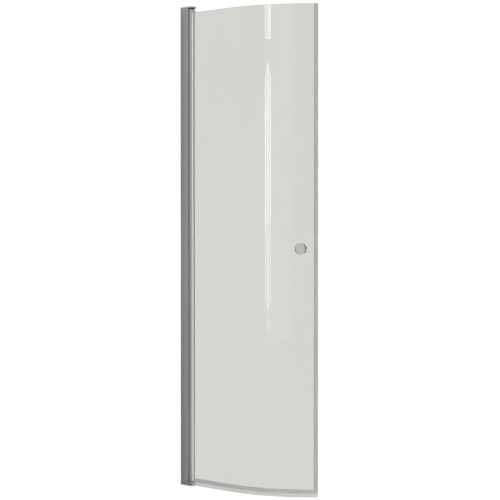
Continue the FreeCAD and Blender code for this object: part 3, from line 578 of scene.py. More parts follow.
class Finishes:
    """All finishes of the door, each built once."""

    def __init__(self) -> None:
        """Builds the shared effects and a material for each finish."""
        satin = Slot.SATIN_ALUMINIUM
        self.post = DrawnMetal(
            "anodised_post", satin, (0.44, 0.437, 0.424), (0.52, 0.517, 0.503), UPRIGHT_LINES
        )
        self.barrel = DrawnMetal(
            "anodised_barrel", satin, (0.455, 0.438, 0.422), (0.528, 0.51, 0.494), UPRIGHT_LINES
        )
        # The cast finish's last colour is painted shade for its faces that point down.
        self.cast = GrainedMetal(
            "cast_metal", Slot.CAST_METAL, (0.45, 0.45, 0.45), (0.51, 0.51, 0.51), (0.05, 0.05, 0.05)
        )
        self.plug = MouldedPlastic(
            "grey_plug", Slot.GREY_PLASTIC, (0.33, 0.33, 0.325), (0.375, 0.375, 0.37), 1200.0, 0.42
        )
        self.bearing = MouldedPlastic(
            "bearing_plastic", Slot.BEARING_PLASTIC, (0.74, 0.74, 0.71), (0.8, 0.8, 0.77), 1500.0, 0.38
        )
        # The steel's dark colour is painted shade for its narrow places.
        axis_top, crevice_shade = (PATH.axis_x, 0.0, PATH.axis_top), (0.05, 0.05, 0.05)
        self.steel = TurnedMetal(
            "turned_steel", Slot.STEEL, (0.5, 0.5, 0.5), (0.6, 0.6, 0.6), axis_top, 0.3 * MM, crevice_shade=crevice_shade
        )
        self.glass = PaneGlass("pane_glass", Slot.GLASS, (0.622, 0.649, 0.592), (0.634, 0.661, 0.604))
        self.ground_edge = ClearPlastic(
            "ground_glass_edge", Slot.GLASS, (0.30, 0.41, 0.36), (0.38, 0.49, 0.44), LEVEL_LINES, 0.3, 0.4
        )
        self.carrier = ClearPlastic(
            "carrier_pvc", Slot.CLEAR_PVC, (0.73, 0.74, 0.72), (0.79, 0.80, 0.78), LEVEL_LINES
        )
        self.edge_strip = ClearPlastic(
            "edge_strip_pvc", Slot.CLEAR_PVC, (0.70, 0.705, 0.69), (0.76, 0.765, 0.75), UPRIGHT_LINES
        )
        self.wiper = ClearPlastic(
            "wiper_pvc", Slot.SOFT_PVC, (0.62, 0.625, 0.61), (0.68, 0.685, 0.67), LEVEL_LINES, 0.55, 0.35
        )
        self.gasket = MouldedPlastic(
            "gasket_pvc", Slot.CLEAR_PVC, (0.80, 0.80, 0.77), (0.86, 0.86, 0.83), 1500.0, 0.45
        )
        self.washer = MouldedPlastic(
            "washer_pvc", Slot.SOFT_PVC, (0.6, 0.61, 0.59), (0.66, 0.67, 0.65), 1500.0, 0.4
        )
        self.magnet = MouldedPlastic(
            "magnet_rubber", Slot.MAGNET, (0.44, 0.44, 0.43), (0.5, 0.5, 0.49), 1200.0, 0.6
        )
        self.seal = MouldedPlastic(
            "seal_pvc", Slot.SOFT_PVC, (0.46, 0.46, 0.45), (0.52, 0.52, 0.51), 1500.0, 0.6
        )
        self.tape = MouldedPlastic(
            "bond_tape", Slot.BOND_TAPE, (0.46, 0.46, 0.45), (0.52, 0.52, 0.51), 2000.0, 0.7
        )
        knob_centre = tuple(PATH.point(PATH.knob_place, 0.0, PATH.knob_height))
        self.knob = TurnedMetal(
            "satin_knob",
            Slot.KNOB_METAL,
            (0.465, 0.465, 0.455),
            (0.525, 0.525, 0.515),
            knob_centre,
            smooth=0.13,
            rough=0.2,
        )
        effects = Effects()
        self._materials = {finish.name: finish.material(effects) for finish in vars(self).values()}

    def of(self, finish: Finish) -> bpy.types.Material:
        """The material of a finish."""
        return self._materials[finish.name]


# Meshes


def rectangle(
    left: float, right: float, low: float, high: float, rounds: Point = (0.0, 0.0)
) -> list[Corner]:
    """Corners of a rectangle.

    Args:
        left: its left side.
        right: its right side.
        low: its lower side.
        high: its upper side.
        rounds: rounding radii of its left and of its right corners.

    Returns:
        x, y and rounding radius of each corner, in order.
    """
    near, far = rounds
    return [(left, low, near), (right, low, far), (right, high, far), (left, high, near)]


def rounded(corners: Sequence[Corner], steps: int = 5) -> list[Point]:
    """Closed outline with its corners rounded.

    Args:
        corners: x, y and rounding radius of each corner, in order.
        steps: number of straight pieces in each rounded corner.

    Returns:
        The outline's points.
    """
    outline: list[Point] = []
    count = len(corners)
    for index, (x, y, radius) in enumerate(corners):
        here = Vector((x, y))
        if radius <= 0:
            outline.append((x, y))
            continue
        back = (Vector(corners[index - 1][:2]) - here).normalized()
        ahead = (Vector(corners[(index + 1) % count][:2]) - here).normalized()
        half = back.angle(ahead) / 2
        centre = here + (back + ahead).normalized() * (radius / math.sin(half))
        first = here + back * (radius / math.tan(half)) - centre
        turn = first.angle_signed(here + ahead * (radius / math.tan(half)) - centre)
        for step in range(steps + 1):
            point = centre + Matrix.Rotation(-turn * step / steps, 2) @ first
            outline.append((point.x, point.y))
    return outline


def arc(centre: Point, radius: float, start: float, end: float, steps: int) -> list[Point]:
    """Points along an arc.

    Args:
        centre: the arc's centre.
        radius: its radius.
        start: angle of its first point, in degrees.
        end: angle of its last point, in degrees.
        steps: number of straight pieces.

    Returns:
        The points, the first and last included.
    """
    points: list[Point] = []
    for step in range(steps + 1):
        angle = math.radians(start + (end - start) * step / steps)
        points.append((centre[0] + radius * math.cos(angle), centre[1] + radius * math.sin(angle)))
    return points


def circle(centre: Point, radius: float, steps: int) -> list[Point]:
    """Closed outline of a circle."""
    return arc(centre, radius, 0.0, 360.0 * (steps - 1) / steps, steps - 1)


def prism(outlines: Sequence[Sequence[Point]], low: float, high: float) -> Mesh:
    """Upright prism.

    Args:
        outlines: the outside first, then any holes.
        low: height of its underside.
        high: height of its top.

    Returns:
        The closed mesh.
    """
    mesh = bmesh.new()
    rims: dict[float, list[list[bmesh.types.BMVert]]] = {low: [], high: []}
    for outline in outlines:
        for level in (low, high):
            rims[level].append([mesh.verts.new((x, y, level)) for x, y in outline])
        under, over = rims[low][-1], rims[high][-1]
        for index in range(len(outline)):
            after = (index + 1) % len(outline)
            mesh.faces.new((under[index], under[after], over[after], over[index]))
    for level in (low, high):
        if len(outlines) == 1:
            mesh.faces.new(rims[level][0])
            continue
        edges = []
        for rim in rims[level]:
            for index, vert in enumerate(rim):
                edges.append(mesh.edges.get((vert, rim[(index + 1) % len(rim)])))
        bmesh.ops.triangle_fill(mesh, use_beauty=True, edges=edges)
    bmesh.ops.recalc_face_normals(mesh, faces=mesh.faces)
    return mesh


def lathe(profile: Sequence[Point], steps: int) -> Mesh:
    """Turned mesh about the upright axis through the origin.

    Args:
        profile: radius and height of each point, from one end of the axis to the other.
        steps: number of pieces round the axis.

    Returns:
        The closed mesh.
    """
    mesh = bmesh.new()
    rings: list[list[bmesh.types.BMVert]] = []
    for radius, height in profile:
        if radius < WELD_DISTANCE:
            rings.append([mesh.verts.new((0.0, 0.0, height))])
            continue
        rings.append([mesh.verts.new((x, y, height)) for x, y in circle((0.0, 0.0), radius, steps)])
    for first, second in zip(rings, rings[1:]):
        for step in range(steps):
            after = (step + 1) % steps
            corners = [first[step % len(first)], first[after % len(first)]]
            corners += [second[after % len(second)], second[step % len(second)]]
            mesh.faces.new(list(dict.fromkeys(corners)))
    bmesh.ops.recalc_face_normals(mesh, faces=mesh.faces)
    return mesh


def rod(radius: float, reach: float, steps: int) -> Mesh:
    """Round rod on the upright axis, which reaches as far below the origin as above it."""
    return lathe(rounded(rectangle(0.0, radius, -reach, reach)), steps)


def loft(rows: Sequence[Sequence[Vector]]) -> Mesh:
    """Mesh through closed rows of points.

    Args:
        rows: the rows in order, each with the same number of points.

    Returns:
        The mesh, closed at its first and last rows.
    """
    mesh = bmesh.new()
    made = [[mesh.verts.new(point) for point in row] for row in rows]
    for first, second in zip(made, made[1:]):
        for index in range(len(first)):
            after = (index + 1) % len(first)
            mesh.faces.new((first[index], first[after], second[after], second[index]))
    mesh.faces.new(made[0])
    mesh.faces.new(made[-1])
    bmesh.ops.recalc_face_normals(mesh, faces=mesh.faces)
    return mesh


def gathered(meshes: Sequence[Mesh]) -> Mesh:
    """Puts separate meshes into one.

    Args:
        meshes: the meshes, which are freed.

    Returns:
        The mesh that holds them all.
    """
    whole = bmesh.new()
    for mesh in meshes:
        data = bpy.data.meshes.new("gathered")
        mesh.to_mesh(data)
        mesh.free()
        whole.from_mesh(data)
        bpy.data.meshes.remove(data)
    return whole


def moved(mesh: Mesh, place: Vector, direction: Vector) -> Mesh:
    """Moves a mesh away from the origin.

    Args:
        mesh: the mesh, with the upright axis as its own.
        place: where its origin goes.
        direction: where its axis turns to.

    Returns:
        The same mesh.
    """
    turn = Vector((0.0, 0.0, 1.0)).rotation_difference(direction).to_matrix().to_4x4()
    bmesh.ops.transform(mesh, matrix=Matrix.Translation(place) @ turn, verts=mesh.verts)
    return mesh


def loose_object(name: str, mesh: Mesh) -> bpy.types.Object:
    """Puts a mesh in the scene.

    Args:
        name: the object's name.
        mesh: its mesh, which is freed.

    Returns:
        The object.
    """
    data = bpy.data.meshes.new(name)
    mesh.to_mesh(data)
    mesh.free()
    shown = bpy.data.objects.new(name, data)
    bpy.context.scene.collection.objects.link(shown)
    return shown


def combined(base: Mesh, tools: Sequence[Mesh], operation: Operation) -> Mesh:
    """Cuts meshes from a mesh, or joins them to it.

    Args:
        base: the mesh to change, which is freed.
        tools: the meshes to cut or join, which are freed.
        operation: what to do with them.

    Returns:
        The combined mesh.
    """
    body = loose_object("base", base)
    helpers = [loose_object("tool", tool) for tool in tools]
    for helper in helpers:
        modifier = body.modifiers.new("combine", "BOOLEAN")
        modifier.operation = operation.value
        modifier.solver = "EXACT"
        modifier.object = helper
    graph = bpy.context.evaluated_depsgraph_get()
    result = bmesh.new()
    result.from_object(body, graph)
    for used in [body, *helpers]:
        data = used.data
        bpy.data.objects.remove(used)
        bpy.data.meshes.remove(data)
    bmesh.ops.remove_doubles(result, verts=result.verts, dist=WELD_DISTANCE)
    return result


@dataclass(frozen=True)
class Bevel:
    """Rounding of a piece's sharp edges."""

    width: float
    segments: int
    angle: float = 35.0


@dataclass
class Maker:
    """Turns meshes into pieces of the door, and dresses nodes that keep their CAD shape."""

    finishes: Finishes

    def piece(
        self,
        name: str,
        mesh: Mesh,
        finish: Finish,
        body: Body,
        nodes: Sequence[str],
        bevel: Bevel | None = None,
        clear: bool = False,
    ) -> bpy.types.Object:
        """Makes a piece that stands for CAD nodes.

        Args:
            name: the piece's name.
            mesh: its mesh, which is freed.
            finish: its finish.
            body: the body that it rides on.
            nodes: the CAD nodes that it stands for.
            bevel: rounding of its edges, where it has any.
            clear: whether light passes through it without a shadow.

        Returns:
            The piece.
        """
        shown = loose_object(name, mesh)
        shown.data.materials.append(self.finishes.of(finish))
        shown.data.shade_smooth()
        shown.data.set_sharp_from_angle(angle=math.radians(SHARP_ANGLE))
        if bevel:
            modifier = shown.modifiers.new("rounded_edges", "BEVEL")
            modifier.width = bevel.width
            modifier.segments = bevel.segments
            modifier.limit_method = "ANGLE"
            modifier.angle_limit = math.radians(bevel.angle)
        flat = shown.modifiers.new("flat_faces", "WEIGHTED_NORMAL")
        flat.keep_sharp = True
        shown.visible_shadow = not clear
        shown.visible_diffuse = not clear
        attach(shown, body.value)
        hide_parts(*nodes)
        LOG.info("%s rides on %s and stands for %s", name, body.value, ", ".join(nodes))
        return shown

    def dress(self, finish: Finish, *nodes: str) -> None:
        """Gives CAD nodes their finish.

        Args:
            finish: the finish.
            nodes: names of the nodes.
        """
        for node in nodes:
            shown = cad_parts[node]
            shown.data.materials.clear()
            shown.data.materials.append(self.finishes.of(finish))
            LOG.info("%s keeps its CAD shape", node)


# Sub-assemblies


@dataclass(frozen=True)
class DoorPath:
    """Middle line of the pane, straight at the hinge and then an arc inwards, and places along it."""

    axis_x: float = 50.5 * MM
    axis_top: float = 2000.0 * MM
    straight_run: float = 210.5 * MM
    curve_radius: float = 500.0 * MM
    curve_step: float = 3.0 * MM
    glass_end: float = 593.7 * MM
    door_end: float = 601.7 * MM
    glass_bottom: float = 19.5 * MM
    glass_top: float = 1974.5 * MM
    knob_place: float = 532.7 * MM
    knob_height: float = 997.0 * MM

    def point(self, place: float, offset: float, height: float) -> Vector:
        """Point on the door.

        Args:
            place: distance along the middle line, from the hinge axis.
            offset: distance from that line, positive on the outside.
            height: height above the floor.

        Returns:
            The point.
        """
        if place <= self.straight_run:
            return Vector((self.axis_x + place, -offset, height))
        angle = (place - self.straight_run) / self.curve_radius
        radius = self.curve_radius + offset
        x = self.axis_x + self.straight_run + radius * math.sin(angle)
        return Vector((x, self.curve_radius - radius * math.cos(angle), height))

    def outward(self, place: float) -> Vector:
        """Direction out of the shower at a place along the door."""
        return self.point(place, 1.0, 0.0) - self.point(place, 0.0, 0.0)

    def places(self, start: float, end: float) -> list[float]:
        """Places along the door that follow its curve.

        Args:
            start: the first place.
            end: the last place.

        Returns:
            The places in order, with both ends.
        """
        found = [start]
        bend = max(start, self.straight_run)
        if start < self.straight_run < end:
            found.append(self.straight_run)
        count = max(1, math.ceil((end - bend) / self.curve_step))
        found += [bend + (end - bend) * step / count for step in range(1, count + 1)]
        return found

    def sweep(self, section: Callable[[float], Sequence[Point]], start: float, end: float) -> Mesh:
        """Sweeps a section along the door.

        Args:
            section: gives the section's offsets and heights at a place along the door.
            start: place of the first end.
            end: place of the last end.

        Returns:
            The closed mesh.
        """
        rows = []
        for place in self.places(start, end):
            rows.append([self.point(place, *corner) for corner in section(place)])
        return loft(rows)


PATH = DoorPath()


@dataclass
class WallPost:
    """Channel on the wall, hinge post in it, cap, foot and the covers of the clamp screws."""

    height: float = PATH.axis_top
    half_width: float = 14.0 * MM
    depth: float = 43.0 * MM
    wall: float = 1.8 * MM
    back_round: float = 1.5 * MM
    lip_round: float = 0.5 * MM
    wall_hole_radius: float = 2.75 * MM
    wall_hole_heights: tuple[float, ...] = (150.0 * MM, 700.0 * MM, 1300.0 * MM, 1850.0 * MM)
    cap_thickness: float = 7.0 * MM
    cap_top_round: float = 3.0 * MM
    cap_under_round: float = 0.6 * MM
    cap_round_steps: int = 6
    cap_edges: Bevel = Bevel(0.3 * MM, 2)
    cap_lip_drop: float = 4.0 * MM
    cap_lip_wall: float = 2.0 * MM
    foot_height: float = 18.5 * MM
    foot_edges: Bevel = Bevel(0.9 * MM, 4)
    end_face: float = 66.0 * MM
    end_corner: float = 4.0 * MM
    post_back: float = 13.5 * MM
    post_front: float = 43.5 * MM
    post_half: float = 12.0 * MM
    post_wall: float = 1.8 * MM
    tip_round: float = 0.8 * MM
    mouth_radius: float = 11.25 * MM
    mouth_wall: float = 3.2 * MM
    groove_half: float = 1.5 * MM
    groove_depth: float = 1.7 * MM
    screw_place: Point = (17.8 * MM, 7.7 * MM)
    screw_recess_radius: float = 3.7 * MM
    screw_recess_depth: float = 3.0 * MM
    screw_radius: float = 1.6 * MM
    screw_length: float = 18.0 * MM
    screw_end_round: float = 0.3 * MM
    screw_head_radius: float = 3.3 * MM
    screw_head_height: float = 2.6 * MM
    screw_seat_round: float = 0.1 * MM
    screw_top_round: float = 0.5 * MM
    screw_socket: float = 1.45 * MM
    screw_socket_depth: float = 1.5 * MM
    pin_recess_radius: float = 6.2 * MM
    pin_recess_depth: float = 2.6 * MM
    cover_heights: tuple[float, ...] = (200.0 * MM, 1000.0 * MM, 1800.0 * MM)
    cover_x: float = 28.5 * MM
    cover_radius: float = 7.5 * MM
    cover_height: float = 4.5 * MM
    cover_bevel: float = 1.2 * MM
    cover_round: float = 0.4 * MM

    def build(self, maker: Maker) -> None:
        """Builds and dresses the post's pieces.

        Args:
            maker: makes the pieces.
        """
        finishes = maker.finishes
        body = Body.WALL_POST
        maker.piece("wall_profile_shell", self.channel(), finishes.post, body, ["wall_profile"])
        maker.piece("hinge_post_shell", self.post(), finishes.post, body, ["hinge_post"])
        maker.piece("top_cap_shell", self.cap(), finishes.cast, body, ["top_cap"], self.cap_edges)
        maker.piece("foot_shell", self.foot(), finishes.cast, body, ["foot"], self.foot_edges)
        maker.piece("clamp_cover_set", self.covers(), finishes.plug, body, ["clamp_covers"])
        maker.piece("cap_screw_set", self.cap_screws(), finishes.steel, body, ["cap_screws"])
        maker.dress(finishes.seal, "barrel_seal")
        maker.dress(finishes.steel, "foot_screws", "clamp_screws", "upper_pivot_pin")
        maker.dress(finishes.bearing, "lower_bush", "lift_cam")

    def channel(self) -> Mesh:
        """Channel with rounded lips and the holes of its wall screws.

        Returns:
            The mesh.
        """
        side = self.half_width
        inside = side - self.wall
        outline = rounded(
            [
                (0.0, -side, self.back_round),
                (self.depth, -side, self.lip_round),
                (self.depth, -inside, self.lip_round),
                (self.wall, -inside, self.lip_round),
                (self.wall, inside, self.lip_round),
                (self.depth, inside, self.lip_round),
                (self.depth, side, self.lip_round),
                (0.0, side, self.back_round),
            ]
        )
        base = prism([outline], self.foot_height, self.height - self.cap_thickness)
        holes = []
        for height in self.wall_hole_heights:
            hole = rod(self.wall_hole_radius, self.wall * 2, steps=32)
            holes.append(moved(hole, Vector((self.wall / 2, 0.0, height)), Vector((1.0, 0.0, 0.0))))
        return combined(base, holes, Operation.CUT)

    def post(self) -> Mesh:
        """Hollow hinge post with its round mouth and the groove of the barrel seal.

        Returns:
            The mesh.
        """
        centre = (PATH.axis_x, 0.0)
        lip = self.mouth_radius
        edge = 180.0 - math.degrees(math.acos((PATH.axis_x - self.post_front) / lip))
        groove = math.degrees(math.asin(self.groove_half / lip))
        root = PATH.axis_x - lip - self.groove_depth
        tips = rounded(
            [
                (self.post_back, -self.post_half, 0.0),
                (self.post_front, -self.post_half, self.tip_round),
                (self.post_front, 0.0, 0.0),
                (self.post_front, self.post_half, self.tip_round),
                (self.post_back, self.post_half, 0.0),
            ]
        )
        middle = tips.index((self.post_front, 0.0))
        mouth = arc(centre, lip, 360.0 - edge, 180.0 + groove, steps=24)
        mouth += [(root, -self.groove_half), (root, self.groove_half)]
        mouth += arc(centre, lip, 180.0 - groove, edge, steps=24)
        outside = tips[:middle] + mouth + tips[middle + 1:]
        around = lip + self.mouth_wall
        side = self.post_half - self.post_wall
        turn = math.degrees(math.asin(side / around))
        back = self.post_back + self.post_wall
        front = arc(centre, around, 180.0 + turn, 180.0 - turn, steps=24)
        cavity = [(back, -side), *front, (back, side)]
        return prism([outside, cavity], self.foot_height, self.height - self.cap_thickness)

    def end_outline(self, inset: float = 0.0) -> list[Point]:
        """Outline of the cap and foot: square at the wall, with round corners past the hinge axis.

        Args:
            inset: how far its free sides are drawn in.

        Returns:
            The outline's points.
        """
        side, face, corner = self.half_width - inset, self.end_face - inset, self.end_corner - inset
        return rounded(rectangle(0.0, face, -side, side, (0.0, corner)), steps=12)

    def cap(self) -> Mesh:
        """Cap with round edges and the recesses of its two screws and of the pivot pin's head.

        Returns:
            The mesh.
        """
        low, count = self.height - self.cap_thickness, self.cap_round_steps
        turns = [math.radians(90.0 * step / count) for step in range(count + 1)]
        edges = ((low, self.cap_under_round, 1), (self.height, -self.cap_top_round, -1))
        rows = []
        for edge, radius, order in edges:
            for turn in turns[::order]:
                level = edge + radius * (1.0 - math.cos(turn))
                inset = abs(radius) * (1.0 - math.sin(turn))
                rows.append([Vector((x, y, level)) for x, y in self.end_outline(inset)])
        base = combined(loft(rows), [self.cap_lip()], Operation.JOIN)
        x, y = self.screw_place
        floor = self.height - self.screw_recess_depth
        top = self.height + self.cap_thickness
        recesses = [circle((x, side * y), self.screw_recess_radius, steps=48) for side in (-1, 1)]
        tools = [prism([recess], floor, top) for recess in recesses]
        recess = circle((PATH.axis_x, 0.0), self.pin_recess_radius, steps=64)
        tools.append(prism([recess], self.height - self.pin_recess_depth, top))
        return combined(base, tools, Operation.CUT)

    def cap_lip(self) -> Mesh:
        """Lip under the cap's inner side, which closes the gap above the barrel from behind.

        Returns:
            The mesh.
        """
        near, far = self.post_front, self.end_face - 2 * self.end_corner
        side = self.half_width - self.cap_under_round
        under = self.height - self.cap_thickness
        outline = rounded(rectangle(near, far, side - self.cap_lip_wall, side))
        return prism([outline], under - self.cap_lip_drop, under + self.cap_lip_wall)

    def cap_screws(self) -> Mesh:
        """Two socket screws in the cap's recesses.

        Returns:
            The mesh.
        """
        head, high = self.screw_head_radius, self.screw_head_height
        profile = rounded(
            [
                (0.0, -self.screw_length, 0.0),
                (self.screw_radius, -self.screw_length, self.screw_end_round),
                (self.screw_radius, 0.0, 0.0),
                (head, 0.0, self.screw_seat_round),
                (head, high, self.screw_top_round),
                (0.0, high, 0.0),
            ]
        )
        x, y = self.screw_place
        seat = self.height - self.screw_recess_depth
        floor = seat + high - self.screw_socket_depth
        screws = []
        for side in (-1, 1):
            screw = moved(lathe(profile, steps=48), Vector((x, side * y, seat)), Vector((0.0, 0.0, 1.0)))
            socket = prism([circle((x, side * y), self.screw_socket, steps=6)], floor, self.height)
            screws.append(combined(screw, [socket], Operation.CUT))
        return gathered(screws)

    def foot(self) -> Mesh:
        """Foot under the post."""
        return prism([self.end_outline()], 0.0, self.foot_height)

    def covers(self) -> Mesh:
        """Round covers over the three clamp screws.

        Returns:
            The mesh.
        """
        radius, high, bevel = self.cover_radius, self.cover_height, self.cover_bevel
        profile = rounded(
            [
                (0.0, 0.0, 0.0),
                (radius, 0.0, 0.0),
                (radius, high - bevel, self.cover_round),
                (radius - bevel, high, self.cover_round),
                (0.0, high, 0.0),
            ]
        )
        covers = []
        for height in self.cover_heights:
            place = Vector((self.cover_x, self.half_width, height))
            covers.append(moved(lathe(profile, steps=64), place, Vector((0.0, 1.0, 0.0))))
        return gathered(covers)


@dataclass
class HingeBarrel:
    """Barrel that turns with the door, the plug in its top and the gasket along the glass."""

    radius: float = 10.25 * MM
    bore: float = 7.0 * MM
    bottom: float = 20.0 * MM
    top: float = 1986.0 * MM
    edges: Bevel = Bevel(0.25 * MM, 2)
    arm_top: float = PATH.glass_top
    outer_arm: Point = (-6.2 * MM, -4.4 * MM)
    outer_arm_end: float = 60.5 * MM
    inner_arm: Point = (3.6 * MM, 5.4 * MM)
    inner_arm_end: float = 67.5 * MM
    slot_root: float = 58.5 * MM
    arm_root: float = 57.8 * MM
    tip_round: float = 0.8 * MM
    plug_top: float = 1989.0 * MM
    plug_edges: Bevel = Bevel(0.7 * MM, 3)
    plug_fit: float = 0.05 * MM
    tail_start: float = 65.25 * MM
    tail_end: float = 72.25 * MM
    tail_low: float = 1976.5 * MM
    tail_high: float = 1986.5 * MM
    gasket_start: float = 59.5 * MM
    gasket_end: float = 64.5 * MM
    gasket_lip: float = 0.4 * MM
    gasket_bead_round: float = 0.5 * MM
    gasket_end_round: float = 0.15 * MM
    glass_face: float = -3.0 * MM

    def build(self, maker: Maker) -> None:
        """Builds and dresses the barrel's pieces.

        Args:
            maker: makes the pieces.
        """
        finishes = maker.finishes
        body, barrel = Body.DOOR, self.barrel()
        maker.piece("hinge_barrel_shell", barrel, finishes.barrel, body, ["hinge_barrel"], self.edges)
        maker.piece("barrel_plug", self.plug(), finishes.plug, body, ["barrel_top_plug"], self.plug_edges)
        maker.piece("glazing_strip", self.gasket(), finishes.gasket, body, ["glazing_gasket"])
        maker.dress(finishes.tape, "bond_tape")
        maker.dress(finishes.plug, "setting_blocks")
        maker.dress(finishes.bearing, "cam_follower")
        maker.dress(finishes.steel, "plug_screws")

    def barrel(self) -> Mesh:
        """Tube with two arms and, between them, the slot for the edge of the glass.

        Returns:
            The mesh.
        """
        centre = (PATH.axis_x, 0.0)
        rims = [circle(centre, self.radius, steps=128), circle(centre, self.bore, steps=96)]
        tube = prism(rims, self.bottom, self.top)
        arms = rounded(
            [
                (self.arm_root, self.outer_arm[0], 0.0),
                (self.outer_arm_end, self.outer_arm[0], self.tip_round),
                (self.outer_arm_end, 0.0, 0.0),
                (self.inner_arm_end, 0.0, 0.0),
                (self.inner_arm_end, self.inner_arm[1], self.tip_round),
                (self.arm_root, self.inner_arm[1], 0.0),
            ]
        )
        whole = combined(tube, [prism([arms], self.bottom, self.arm_top)], Operation.JOIN)
        slot = rounded(rectangle(self.slot_root, self.tail_end, self.outer_arm[1], self.inner_arm[0]))
        return combined(whole, [prism([slot], 0.0, self.arm_top)], Operation.CUT)

    def plug(self) -> Mesh:
        """Plug with a round flange and a tail that slopes down to the glass.

        Returns:
            The mesh.
        """
        centre = (PATH.axis_x, 0.0)
        flange = prism([circle(centre, self.radius, steps=128)], self.top, self.plug_top)
        inside = PATH.axis_x + self.bore
        side = [
            (inside, self.arm_top),
            (self.tail_end, self.arm_top),
            (self.tail_end, self.tail_low),
            (self.tail_start, self.tail_high),
            (PATH.axis_x, self.tail_high),
            (PATH.axis_x, self.top),
            (inside, self.top),
        ]
        tail = prism([side], self.outer_arm[0], self.inner_arm[1])
        flip = Matrix(((1, 0, 0, 0), (0, 0, 1, 0), (0, 1, 0, 0), (0, 0, 0, 1)))
        bmesh.ops.transform(tail, matrix=flip, verts=tail.verts)
        bmesh.ops.recalc_face_normals(tail, faces=tail.faces)
        around = circle(centre, self.radius + self.plug_fit, steps=128)
        tail = combined(tail, [prism([around], self.arm_top - self.radius, self.top)], Operation.CUT)
        return combined(flange, [tail], Operation.JOIN)

    def gasket(self) -> Mesh:
        """Strip between the outer arm and the glass, with a bead that shows.

        Returns:
            The mesh.
        """
        outline = rounded(
            [
                (self.gasket_start, self.outer_arm[1], 0.0),
                (self.outer_arm_end, self.outer_arm[1], 0.0),
                (self.outer_arm_end, self.outer_arm[0] + self.gasket_lip, self.gasket_bead_round),
                (self.gasket_end, self.glass_face - self.gasket_lip, self.gasket_end_round),
                (self.gasket_end, self.glass_face, 0.0),
                (self.gasket_start, self.glass_face, 0.0),
            ]
        )
        return prism([outline], self.bottom, self.arm_top)


@dataclass
class GlassPane:
    """Curved pane with ground edges and a hole for the knob."""

    start: float = 9.0 * MM
    half: float = 2.98 * MM
    arris: float = 0.8 * MM
    edge_slope: float = 0.1
    hole_radius: float = 6.0 * MM

    def build(self, maker: Maker) -> None:
        """Builds and dresses the pane.

        Args:
            maker: makes the piece.
        """
        finishes = maker.finishes
        body = Body.DOOR
        pane = maker.piece("curved_pane", self.pane(), finishes.glass, body, ["glass_pane"], clear=True)
        pane.data.materials.append(finishes.of(finishes.ground_edge))

    def section(self, place: float) -> list[Point]:
        """Section of the pane at any place, with its edges ground round."""
        edges = (self.arris, self.arris)
        return rounded(rectangle(-self.half, self.half, PATH.glass_bottom, PATH.glass_top, edges), steps=4)

    def pane(self) -> Mesh:
        """Pane that follows the door, with the second finish on its top and bottom edges.

        Returns:
            The mesh.
        """
        base = PATH.sweep(self.section, self.start, PATH.glass_end)
        place = PATH.point(PATH.knob_place, 0.0, PATH.knob_height)
        hole = moved(rod(self.hole_radius, self.half * 4, steps=48), place, PATH.outward(PATH.knob_place))
        pane = combined(base, [hole], Operation.CUT)
        for face in pane.faces:
            face.material_index = int(abs(face.normal.z) > self.edge_slope)
        return pane


